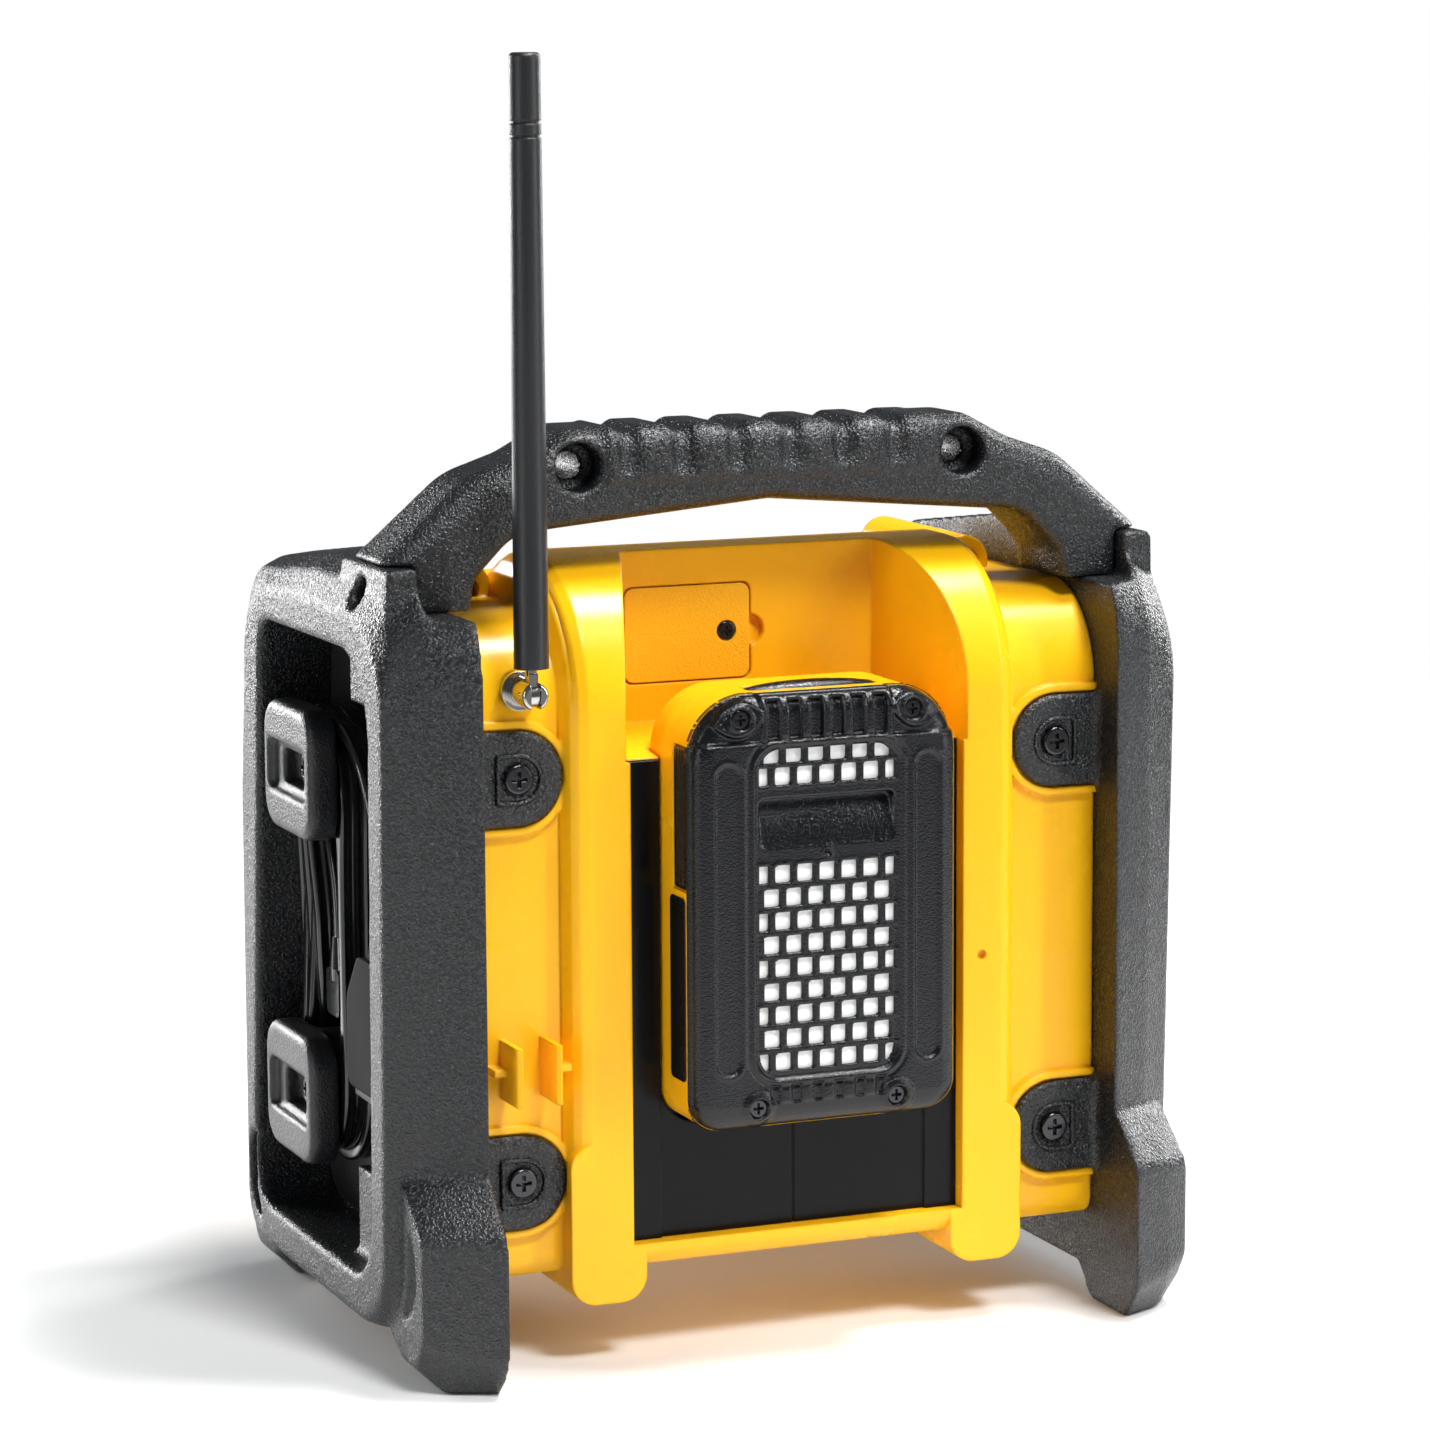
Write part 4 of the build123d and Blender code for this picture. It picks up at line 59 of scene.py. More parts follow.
# Camera behind the radio: its place, its right and upward directions, and its lens
CAMERA_PLACE = (0.480602, 1.167871, 0.353492)
CAMERA_RIGHT = (-0.92395, 0.38247, -0.00529)
CAMERA_UP = (-0.06257, -0.13750, 0.98852)
CAMERA_LENS = 117.32
CAMERA_SENSOR = 36.0

# Mains cord, in metres: its exit, and then Y and Z along its lead and its tail
CORD_EXIT = (0.0972, -0.027, 0.102)
CORD_LEAD = [(-0.027, 0.102), (-0.027, 0.115), (-0.0345, 0.128)]
CORD_TAIL = [(-0.004, 0.162), (0.0125, 0.1505), (0.022, 0.1335), (0.024, 0.122)]
# Cleat posts that it is wound on, and the radius and X of each turn round them
POST_Y = -0.027
POST_HEIGHTS = (0.063, 0.143)
TURN_SLOTS = [(radius, x) for radius in (0.0155, 0.0189, 0.0223) for x in (0.0959, 0.1013)]
# How far in front of the posts the first turn comes back, and how much further each later one
RETURN_SPREAD, RETURN_STEP = 0.0125, 0.0034
# Half the length of a turn's straight run on either side of the posts
RUN_HALF, RETURN_HALF = 0.02, 0.004

# Battery casing, in millimetres: its outline, its outer face, and the rim behind it
CASING_MIDDLE, CASING_HALF = (0, 120.75), (37.5, 57.25)
CASING_CORNERS = (17.0, 9.0)
CASING_SPAN_X, CASING_SPAN_Z, CASING_SIZE = (-37.8, 37.8), (63.2, 178.4), (75.6, 115.2)
CASING_FACE, CASING_RIM = 81.2, 75.1
# How deep the rounded edge lies at each distance inside the outline
EDGE_INSIDE = [0, 0.15, 0.5, 1.6, 3.2, 4.8]
EDGE_DEPTH = [6.2, 4.2, 2.8, 1.25, 0.4, 0]
# Sunken window, and the staggered rows of square holes in it
WINDOW_MIDDLE = (0, 120.7)
HOLE_ROWS = [131.0 - 6.2 * row for row in range(9)] + [156.6, 162.4]
SHORT_ROWS = (1, 3, 5, 7, 10)
HOLE_PITCH, HOLE_HALF, HOLE_CORNER = 6.25, (2.3, 2.35), 0.8
# Edges round these X and Z are the casing's own, and the others are rims of holes
WINDOW_REACH_X, WINDOW_REACH_Z = 21.6, (75.5, 166.0)
HOLE_WALL = 1.2

# Ribbed grip on the casing's side, in millimetres
GRIP_SPAN_Y, GRIP_SPAN_Z, GRIP_COUNTS = (66.2, 75.2), (127.2, 164.8), (24, 107)
GRIP_MIDDLE, GRIP_HALF = (70.7, 146.0), (4.5, 18.8)
GRIP_OUT, RIDGE_PITCH = 37.45, 1.9

# Optical sizes of plastic and metal that every finish shares
GLOSS_SPREAD = 0.12
COAT_ROUGHNESS = 0.12
METAL_EDGE = 0.0003

# Soft lights: name, place, width and height, and power
LIGHTS = (
    ("left_box", (1.9, 0.7, 0.6), (0.25, 1.2), 10.0),
    ("right_strip", (-1.5, 1.3, 0.7), (0.12, 1.6), 16.0),
    ("top_box", (-0.45, 0.2, 1.5), (0.4, 0.3), 24.0),
    ("side_glow", (0.8, -1.8, 0.2), (0.6, 1.1), 46.0),
    ("far_box", (-1.7, -0.9, 0.7), (0.5, 1.2), 26.0),
)
LIGHT_TARGET = (0, 0, 0.14)


# ---- Sizes and colours that a user may change -------------------------------------------
def colour(label, note, default):
    look = {"subtype": "COLOR", "size": 3, "min": 0.0, "max": 1.0}
    return FloatVectorProperty(name=label, description=note, default=default, **look)


def length(label, note, default):
    return FloatProperty(name=label, description=note, default=default, unit="LENGTH", min=0.0)


class RadioColours(bpy.types.PropertyGroup):
    shell: colour("Housing", "Glossy housing and battery casing", (0.93, 0.475, 0.006))
    cage: colour("Cage", "Grained side frames and handle", (0.008, 0.0092, 0.0108))
    fittings: colour("Fittings", "Dock, cleats, fascia and knobs", (0.007, 0.0075, 0.0085))
    pack: colour("Battery face", "Outer casing of the battery", (0.004, 0.0046, 0.006))
    rubber: colour("Rubber", "Antenna sleeve, grip and buttons", (0.011, 0.012, 0.0135))
    cord: colour("Cord", "Sheath of the mains cord", (0.004, 0.0045, 0.005))
    carrier: colour("Cell carrier", "White tray behind the grid", (0.95, 0.95, 0.94))
    floor: colour("Floor", "Studio floor", (0.86, 0.86, 0.86))


class RadioFinish(bpy.types.PropertyGroup):
    grain: length("Grain", "Size of the pebbles in the cage's grain", 0.0008)
    fine_grain: length("Fine grain", "Size of the pits in the smoother plastics", 0.0006)


class RadioCord(bpy.types.PropertyGroup):
    width: length("Width", "Wide side of the flat cord", 0.0054)
    thickness: length("Thickness", "Narrow side of the flat cord", 0.0034)
    slack: length("Slack", "How far the wound turns stand apart between the cleats", 0.0018)
    arc_points: IntProperty(
        name="Arc points", description="Route points round each cleat", default=7, min=6
    )


# ---- Node helpers ------------------------------------------------------------------------
def new_group(name, inputs, outputs):
    """Shader node group with named float or vector sockets"""
    group = bpy.data.node_groups.new(name, "ShaderNodeTree")
    kinds = {"f": "NodeSocketFloat", "v": "NodeSocketVector"}
    for label, kind, default in inputs:
        socket = group.interface.new_socket(label, in_out="INPUT", socket_type=kinds[kind])
        if default is not None:
            socket.default_value = default
    for label, kind in outputs:
        group.interface.new_socket(label, in_out="OUTPUT", socket_type=kinds[kind])
    return group, group.nodes.new("NodeGroupInput"), group.nodes.new("NodeGroupOutput")


def feed(tree, made, links):
    """Links a node's inputs to sockets, or sets them to values"""
    for name, source in links.items():
        if isinstance(source, bpy.types.NodeSocket):
            tree.links.new(source, made.inputs[name])
        else:
            made.inputs[name].default_value = source
    return made


def node(tree, kind, links=None, **values):
    """New shader node with plain settings, and its inputs linked or set by name"""
    made = tree.nodes.new("ShaderNode" + kind)
    for key, value in values.items():
        setattr(made, key, value)
    return feed(tree, made, links or {})


def maths(tree, operation, first, second):
    """Result of one operation on two sockets or numbers"""
    return node(tree, "Math", {0: first, 1: second}, operation=operation).outputs[0]


def vector_maths(tree, operation, first, second):
    """Result of one operation on two vectors"""
    made = node(tree, "VectorMath", {0: first, 1: second}, operation=operation)
    return made.outputs["Vector"]


def noise(tree, vector, scale, detail, **more):
    """Noise texture on given coordinates"""
    return node(tree, "TexNoise", {"Vector": vector, "Scale": scale, "Detail": detail, **more})


def ranged(tree, value, source, target, smooth=False):
    """Value brought from one range into another"""
    links = {"Value": value, "From Min": source[0], "From Max": source[1]}
    made = node(tree, "MapRange", {**links, "To Min": target[0], "To Max": target[1]})
    if smooth:
        made.interpolation_type = "SMOOTHSTEP"
    return made.outputs["Result"]


def on_object(tree):
    """The piece's own coordinates"""
    return node(tree, "TexCoord").outputs["Object"]


def grain_group():
    """Moulded leather grain: small uneven pebbles parted by sharp valleys, with fine pits"""
    warp_scale, warp_reach = 0.8, 1.6
    valley, crown = 0.75, 0.15
    pit_scale, pit_height = 1.9, 0.55
    group, start, end = new_group(
        "Moulded grain",
        [("Vector", "v", None), ("Scale", "f", 900.0)],
        [("Height", "f"), ("Crown", "f")],
    )
    vector, scale = start.outputs["Vector"], start.outputs["Scale"]
    warp = noise(group, vector, maths(group, "MULTIPLY", scale, warp_scale), 2.0)
    shift = vector_maths(group, "SUBTRACT", warp.outputs["Color"], (0.5, 0.5, 0.5))
    reach = maths(group, "DIVIDE", warp_reach, scale)
    scaled = node(group, "VectorMath", {0: shift, "Scale": reach}, operation="SCALE")
    bent = vector_maths(group, "ADD", vector, scaled.outputs["Vector"])
    pebbles = node(group, "TexVoronoi", {"Vector": bent, "Scale": scale}, feature="F1")
    dome = ranged(group, pebbles.outputs["Distance"], (crown, valley), (1.0, 0.0), smooth=True)
    finer = maths(group, "MULTIPLY", scale, pit_scale)
    pits = noise(group, vector, finer, 2.0, Roughness=0.6).outputs["Fac"]
    height = maths(group, "ADD", dome, maths(group, "MULTIPLY", pits, pit_height))
    group.links.new(height, end.inputs["Height"])
    group.links.new(dome, end.inputs["Crown"])
    return group


def edge_group():
    """Broken mask of the outer edges, 1 where a small bevel turns the normal, which places a
    painted highlight there, and that normal
    """
    flat, turned = 0.985, 0.80
    group, start, end = new_group(
        "Edge bevel and highlight", [("Radius", "f", 0.0006)], [("Mask", "f"), ("Normal", "v")]
    )
    bevel = node(group, "Bevel", {"Radius": start.outputs["Radius"]}, samples=6)
    normal = bevel.outputs["Normal"]
    surface = node(group, "NewGeometry").outputs["Normal"]
    turn = node(group, "VectorMath", {0: normal, 1: surface}, operation="DOT_PRODUCT")
    mask = ranged(group, turn.outputs["Value"], (flat, turned), (0.0, 1.0))
    spots = noise(group, on_object(group), 120.0, 4.0).outputs["Fac"]
    group.links.new(maths(group, "MULTIPLY", mask, spots), end.inputs["Mask"])
    group.links.new(normal, end.inputs["Normal"])
    return group


GROUPS = {}


def place_group(tree, maker, links):
    """Shared node group placed in a material, built the first time it is needed"""
    if maker not in GROUPS:
        GROUPS[maker] = maker()
    return feed(tree, node(tree, "Group", node_tree=GROUPS[maker]), links)


def plain_material(name, base, roughness, metallic=0.0, coat=0.0):
    """Principled material and its tree, before any texture is added"""
    material = bpy.data.materials.new(name)
    material.use_nodes = True
    tree = material.node_tree
    shader = tree.nodes["Principled BSDF"]
    values = {"Base Color": (*base, 1.0), "Roughness": roughness, "Metallic": metallic}
    feed(tree, shader, {**values, "Coat Weight": coat, "Coat Roughness": COAT_ROUGHNESS})
    return material, tree, shader


def moulded(
    name,
    base,
    roughness,
    grain=0.0,
    depth=0.0,
    coat=0.0,
    edge=0.0006,
    edge_highlight=0.35,
    grain_shading=0.0,
    level=0.5,
):
    """Moulded plastic or rubber: grain, rounded edges with a painted highlight, and a slightly
    uneven gloss
    """
    material, tree, shader = plain_material(name, base, roughness, coat=coat)
    place = on_object(tree)
    edges = place_group(tree, edge_group, {"Radius": edge})
    clouds = noise(tree, place, 25.0, 5.0).outputs["Fac"]
    limits = (roughness - GLOSS_SPREAD / 2, roughness + GLOSS_SPREAD / 2)
    gloss = ranged(tree, clouds, (0.3, 0.7), limits)
    # Edges get a lighter tint: a painted highlight along the rounded edges
    highlight_tint = (*[min(1.0, c + edge_highlight * (0.12 + c)) for c in base], 1.0)
    bright = node(tree, "Mix", {"Factor": edges.outputs["Mask"]}, data_type="RGBA")
    bright.inputs["A"].default_value = (*base, 1.0)
    bright.inputs["B"].default_value = highlight_tint
    tint, normal = bright.outputs["Result"], edges.outputs["Normal"]
    if grain:
        pebbles = place_group(tree, grain_group, {"Vector": place, "Scale": 1.0 / grain})
        crown = pebbles.outputs["Crown"]
        # Crowns of the grain are painted lighter and its valleys darker: painted highlight and
        # painted shade
        if grain_shading:
            crown_shading = ranged(tree, crown, (0.0, 1.0), (1.0 - grain_shading, 1.0 + grain_shading))
            shaded_grain = node(tree, "Mix", {"Factor": 1.0}, data_type="RGBA", blend_type="MULTIPLY")
            tree.links.new(tint, shaded_grain.inputs["A"])
            tree.links.new(crown_shading, shaded_grain.inputs["B"])
            tint = shaded_grain.outputs["Result"]
            gloss = maths(tree, "ADD", gloss, ranged(tree, crown, (0.0, 1.0), (0.16, -0.04)))
        relief = {"Height": pebbles.outputs["Height"], "Normal": normal, "Distance": depth}
        normal = node(tree, "Bump", {**relief, "Strength": 1.0}).outputs["Normal"]
    links = {"Base Color": tint, "Roughness": gloss, "Normal": normal}
    feed(tree, shader, {**links, "Specular IOR Level": level})
    return material


def metal(name, base, roughness):
    """Polished or blackened metal with fine scuffs"""
    material, tree, shader = plain_material(name, base, roughness, metallic=1.0)
    edges = place_group(tree, edge_group, {"Radius": METAL_EDGE})
    scuffs = noise(tree, on_object(tree), 700.0, 2.0).outputs["Fac"]
    gloss = ranged(tree, scuffs, (0.0, 1.0), (roughness * 0.7, roughness * 1.3))
    feed(tree, shader, {"Roughness": gloss, "Normal": edges.outputs["Normal"]})
    return material


def display_glass():
    """Tinted cover of the display"""
    material, tree, shader = plain_material("Display glass", (0.02, 0.03, 0.03), 0.06, coat=1.0)
    edges = place_group(tree, edge_group, {"Radius": 0.0005})
    feed(tree, shader, {"Transmission Weight": 0.6, "Normal": edges.outputs["Normal"]})
    return material


def wear_material(obj, material):
    """Gives every material slot of a piece the same finish"""
    if not obj.material_slots:
        obj.data.materials.append(material)
    for entry in obj.material_slots:
        entry.material = material


def wear_nodes(material, *names):
    """Gives CAD nodes their finish"""
    for name in names:
        wear_material(NODES[name], material)


# ---- Mesh helpers ------------------------------------------------------------------------
def keep(mesh, name, body, material, replaced=()):
    """Finished mesh as a piece that rides on a body"""
    piece = bpy.data.objects.new(name, mesh)
    bpy.context.scene.collection.objects.link(piece)
    wear_material(piece, material)
    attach(piece, body)
    if replaced:
        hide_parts(*replaced)
    return piece


def finished_mesh(shape, name, smooth=True):
    """Mesh of a shape, which is freed"""
    for face in shape.faces:
        face.smooth = smooth
    mesh = bpy.data.meshes.new(name)
    shape.to_mesh(mesh)
    shape.free()
    return mesh


def place_corners(shape, corners, size, middle):
    """Scales a unit shape to a size and moves it to its middle, both in millimetres"""
    bmesh.ops.scale(shape, vec=[side * MM for side in size], verts=corners)
    bmesh.ops.translate(shape, vec=[place * MM for place in middle], verts=corners)


def softened(sources, name, body, material, voxel, rounds, grow=0.0):
    """One moulding with rounded edges from CAD nodes; grow closes the seams between them"""
    shape = bmesh.new()
    for source in sources:
        part = bmesh.new()
        part.from_mesh(NODES[source].data)
        bmesh.ops.remove_doubles(part, verts=part.verts, dist=1e-5)
        if grow and source != sources[0]:
            part.normal_update()
            for vertex in part.verts:
                vertex.co += vertex.normal * grow
        copy = bpy.data.meshes.new(source)
        part.to_mesh(copy)
        part.free()
        shape.from_mesh(copy)
        bpy.data.meshes.remove(copy)
    mesh = bpy.data.meshes.new(name)
    shape.to_mesh(mesh)
    shape.free()
    piece = keep(mesh, name, body, material, sources)
    remesh = piece.modifiers.new("Remesh", "REMESH")
    remesh.mode = "VOXEL"
    remesh.voxel_size = voxel
    remesh.use_smooth_shade = True
    soften = piece.modifiers.new("Soften", "CORRECTIVE_SMOOTH")
    soften.factor = 0.6
    soften.iterations = rounds
    soften.use_only_smooth = True
    return piece


# ---- Operators ---------------------------------------------------------------------------
class RADIO_OT_camera(bpy.types.Operator):
    """Camera behind the radio, a little above its middle, on the cord's side"""

    bl_idname = "radio.camera"
    bl_label = "Camera"

    def execute(self, context):
        data = bpy.data.cameras.new("Camera")
        data.lens = CAMERA_LENS
        data.sensor_width = CAMERA_SENSOR
        data.clip_start = 0.05
        camera = bpy.data.objects.new("Camera", data)
        right = Vector(CAMERA_RIGHT)
        back = right.cross(Vector(CAMERA_UP)).normalized()
        up = back.cross(right).normalized()
        turn = Matrix((right.normalized(), up, back)).transposed().to_4x4()
        camera.matrix_world = Matrix.Translation(CAMERA_PLACE) @ turn
        context.scene.collection.objects.link(camera)
        context.scene.camera = camera
        return {"FINISHED"}


def turn_arc(x, radius, height, angles):
    """Points of a turn where it goes round a post"""
    return [
        Vector((x, POST_Y + radius * math.cos(angle), height + radius * math.sin(angle)))
        for angle in angles
    ]


def wound_route(settings):
    """Control points of the cord: its lead, six turns round the cleats, and its tail"""
    points = [Vector((CORD_EXIT[0], y, z)) for y, z in CORD_LEAD]
    low, high = POST_HEIGHTS
    middle = (low + high) / 2
    count = settings.arc_points
    over = [math.pi * (1 - step / (count - 1)) for step in range(count)]
    under = [-math.pi * step / (count - 1) for step in range(count)]
    for turn, (radius, x) in enumerate(TURN_SLOTS[:-1]):
        away = radius + settings.slack * math.sin(1.3 * turn + 0.4)
        points += turn_arc(x, radius, high, over)
        points.append(Vector((x, POST_Y + away, middle + RUN_HALF)))
        points.append(Vector((x, POST_Y + away + 0.3 * settings.slack, middle - RUN_HALF)))
        points += turn_arc(x, radius, low, under)
        across = (x + TURN_SLOTS[turn + 1][1]) / 2
        front = POST_Y - (RETURN_SPREAD + RETURN_STEP * turn)
        points.append(Vector((across, front, middle - RETURN_HALF)))
        points.append(Vector((across, front, middle + RETURN_HALF)))
    radius, x = TURN_SLOTS[-1]
    points += turn_arc(x, radius, high, over[:-2])
    return points + [Vector((x, y, z)) for y, z in CORD_TAIL]


class RADIO_OT_cord(bpy.types.Operator):
    """Flat mains cord, wound on the two cleats, with its plug"""

    bl_idname = "radio.cord"
    bl_label = "Mains cord"

    def execute(self, context):
        settings = context.scene.radio_cord
        dark = context.scene.radio_colours.cord
        sheath = moulded("Cord sheath", dark, 0.2, coat=0.5, edge=0.0002, edge_highlight=0.0)
        route = wound_route(settings)
        curve = bpy.data.curves.new("mains_cord", "CURVE")
        curve.dimensions = "3D"
        spline = curve.splines.new("NURBS")
        spline.points.add(len(route) - 1)
        for point, place in zip(spline.points, route):
            point.co = (*place, 1.0)
        spline.order_u = 3
        spline.use_endpoint_u = True
        spline.resolution_u = 6
        curve.twist_mode = "MINIMUM"
        profile = self.flat_profile(settings)
        curve.bevel_mode = "OBJECT"
        curve.bevel_object = profile
        curve.use_fill_caps = True
        cord = bpy.data.objects.new("mains_cord", curve)
        context.scene.collection.objects.link(cord)
        drawn = self.drawn_mesh(context, cord)
        curve.bevel_mode = "ROUND"
        curve.bevel_object = None
        path = [tuple(vertex.co) for vertex in self.drawn_mesh(context, cord).vertices]
        bpy.data.objects.remove(cord)
        bpy.data.objects.remove(profile)
        drawn.polygons.foreach_set("use_smooth", [True] * len(drawn.polygons))
        replaced = ("cord_lead", "cord_hank", "cord_tail")
        piece = keep(drawn, "mains_cord", "radio", sheath, replaced)
        # Plug wears a darker copy of the cord colour: painted shade that keeps it dark under the
        # side light
        shaded_cord = [0.4 * c for c in dark]
        moulding = moulded("Plug moulding", shaded_cord, 0.75, edge=0.0012, edge_highlight=0.0, level=0.12)
        wear_nodes(sheath, "cord_gland")
        wear_nodes(moulding, "mains_plug")
        wear_nodes(metal("Plug pins", (0.62, 0.6, 0.55), 0.22), "plug_pins")
        return {"FINISHED"}

    def drawn_mesh(self, context, cord):
        """Mesh that the cord's curve gives with its settings of the moment"""
        context.view_layer.update()
        seen = cord.evaluated_get(context.evaluated_depsgraph_get())
        return bpy.data.meshes.new_from_object(seen)

    def flat_profile(self, settings):
        """Section of the two-core cord: wide along X, with a shallow waist between its cores"""
        outline = bpy.data.curves.new("cord_section", "CURVE")
        outline.dimensions = "2D"
        spline = outline.splines.new("NURBS")
        wide, thin = settings.width / 2, settings.thickness / 2
        core, hump, waist = wide * 0.45, thin * 1.12, thin * 0.72
        upper = [(wide, 0.0), (wide, thin), (core, hump)]
        upper += [(0.0, waist), (-core, hump), (-wide, thin)]
        shape = upper + [(-x, -y) for x, y in upper]
        spline.points.add(len(shape) - 1)
        for point, (x, y) in zip(spline.points, shape):
            point.co = (x, y, 0.0, 1.0)
        spline.use_cyclic_u = True
        spline.order_u = 3
        spline.resolution_u = 2
        section = bpy.data.objects.new("cord_section", outline)
        bpy.context.scene.collection.objects.link(section)
        return section


def lug_rims_mesh():
    """Raised rim round the sunk seat of each rear lug screw"""
    seat_x, seat_radius, edge_x = 77.0, 6.2, 82.0
    sunk, proud = 58.1, 58.8
    chamfer = 0.6
    shape = bmesh.new()
    for side, height in ((1, 50.4), (1, 156.8), (-1, 50.4), (-1, 156.8)):
        loops = []
        for grow, out in ((0.75, sunk), (0.3, proud), (-0.3, proud), (-0.75, sunk)):
            reach = seat_radius + grow
            turns = np.linspace(math.pi / 2, 3 * math.pi / 2, 17)
            places = [
                (seat_x + reach * math.cos(turn), height + reach * math.sin(turn)) for turn in turns
            ]
            end, wall = edge_x + grow, edge_x + chamfer + grow
            places += [(end, height - reach), (wall, height - reach + chamfer)]
            places += [(wall, height + reach - chamfer), (end, height + reach)]
            loops.append([shape.verts.new((side * x * MM, out * MM, z * MM)) for x, z in places])
        for first, second in zip(loops, loops[1:] + loops[:1]):
            for index in range(-1, len(first) - 1):
                corners = (first[index], first[index + 1], second[index + 1], second[index])
                shape.faces.new(corners)
    bmesh.ops.recalc_face_normals(shape, faces=shape.faces)
    return finished_mesh(shape, "lug_rims")


class RADIO_OT_cage(bpy.types.Operator):
    """Two grained side frames, the handle bar between them and its lobed grip"""

    bl_idname = "radio.cage"
    bl_label = "Cage and handle"

    def execute(self, context):
        colours = context.scene.radio_colours
        finish = context.scene.radio_finish
        # Cage grain with painted highlight on its crowns, painted shade in its valleys and a
        # painted highlight on its edges
        grained = moulded(
            "Cage grain",
            colours.cage,
            0.21,
            finish.grain,
            0.00016,
            edge=0.0009,
            edge_highlight=0.08,
            grain_shading=0.4,
            level=0.55,
        )
        voxel = 0.001
        for side in ("left", "right"):
            parts = (f"side_frame_{side}",)
            softened(parts, f"cage_{side}", "radio", grained, voxel, 3)
        keep(lug_rims_mesh(), "lug_rims", "radio", grained)
        parts = ("handle_bar", "handle_grip")
        finer = voxel * 0.75
        softened(parts, "handle", "radio", grained, finer, 4, grow=0.0004)
        return {"FINISHED"}


class RADIO_OT_housing(bpy.types.Operator):
    """Glossy front and rear housings and the little cover in the scoop"""

    bl_idname = "radio.housing"
    bl_label = "Housing"

    def execute(self, context):
        colours = context.scene.radio_colours
        finish = context.scene.radio_finish
        yellow, grain = colours.shell, finish.fine_grain
        look = {"edge": 0.0012, "edge_highlight": 0.05, "level": 0.32}
        glossy = moulded("Housing gloss", yellow, 0.26, grain, 0.000012, **look)
        look = {"edge": 0.0005, "edge_highlight": 0.05, "level": 0.3}
        satin = moulded("Housing fine grain", yellow, 0.4, grain, 0.00005, **look)
        wear_nodes(glossy, "rear_housing", "front_housing")
        wear_nodes(satin, "cell_cover")
        wear_nodes(moulded("Coin holder", colours.fittings, 0.5), "coin_holder")
        wear_nodes(metal("Coin steel", (0.7, 0.7, 0.71), 0.28), "coin_cell")
        return {"FINISHED"}


class RADIO_OT_dock(bpy.types.Operator):
    """Battery dock with its terminals"""

    bl_idname = "radio.dock"
    bl_label = "Battery dock"

    def execute(self, context):
        colours = context.scene.radio_colours
        dark = [0.4 * c for c in colours.fittings]
        satin = moulded("Dock satin", dark, 0.2, edge=0.0008, edge_highlight=0.2, level=0.16)
        wear_nodes(satin, "dock_tray")
        wear_nodes(moulded("Terminal block", colours.fittings, 0.5), "terminal_block")
        wear_nodes(metal("Terminal blades", (0.75, 0.66, 0.42), 0.25), "terminal_blades")
        return {"FINISHED"}


def ramp(value, start, end):
    """Smooth step from 0 at start to 1 at end, for numbers or arrays"""
    share = np.clip((value - start) / (end - start), 0.0, 1.0)
    return share * share * (3 - 2 * share)


def box_distance(x, z, centre, half, corner):
    """Distance from a rounded rectangle, negative inside it"""
    across = np.abs(x - centre[0]) - half[0] + corner
    along = np.abs(z - centre[1]) - half[1] + corner
    outside = np.hypot(np.maximum(across, 0), np.maximum(along, 0))
    return outside + np.minimum(np.maximum(across, along), 0) - corner


def ridge(distance, middle, width):
    """Soft ridge, 1 high at its middle"""
    return np.exp(-(((distance - middle) / width) ** 2))


def casing_outline(x, z):
    """Distance from the outline of the battery's outer casing, with its large upper corners"""
    corner = np.where(z > 120, *CASING_CORNERS)
    return box_distance(x, z, CASING_MIDDLE, CASING_HALF, corner)


def hole_distance(x, z):
    """Distance from the nearest square hole of the staggered grid, within the clear window"""
    nearest = np.full(np.shape(x), 99.0)
    for row, height in enumerate(HOLE_ROWS):
        count = 6 if row in SHORT_ROWS else 7
        for index in range(count):
            centre = ((index - (count - 1) / 2) * HOLE_PITCH, height)
            hole = box_distance(x, z, centre, HOLE_HALF, HOLE_CORNER)
            nearest = np.minimum(nearest, hole)
    clear = box_distance(x, z, WINDOW_MIDDLE, (19.3, 43.0), 6.0)
    return np.maximum(nearest, clear)


def screw_depth(x, z, side):
    """Relief round the two screws on one side of the casing, in millimetres"""
    # Raised almond round the upper screw, on a corner that steps down
    across, up = side * x - 24.9, z - 172.0
    along = across * 0.985 - up * 0.17
    cross = across * 0.17 + up * 0.985
    almond = np.hypot(along / 6.4, cross / (4.2 - 0.035 * along * along)) - 1
    corner = ramp(z, 165.2, 166.2) * ramp(side * x, 18.2, 18.9)
    steps = [1.5 * corner * ramp(almond, 0.0, 0.16), -0.35 * corner * ridge(almond, 0.0, 0.12)]
    # Screwed ear of the lower skirt
    ear = np.hypot(side * x - 19.7, z - 69.6)
    steps.append(-0.5 * ramp(5.0 - ear, 0.0, 0.8))
    seat = np.minimum(np.hypot(side * x - 24.3, z - 172.0), ear)
    steps.append(2.3 * ramp(2.75 - seat, 0.0, 0.35) - 0.35 * ridge(seat, 3.15, 0.35))
    return steps


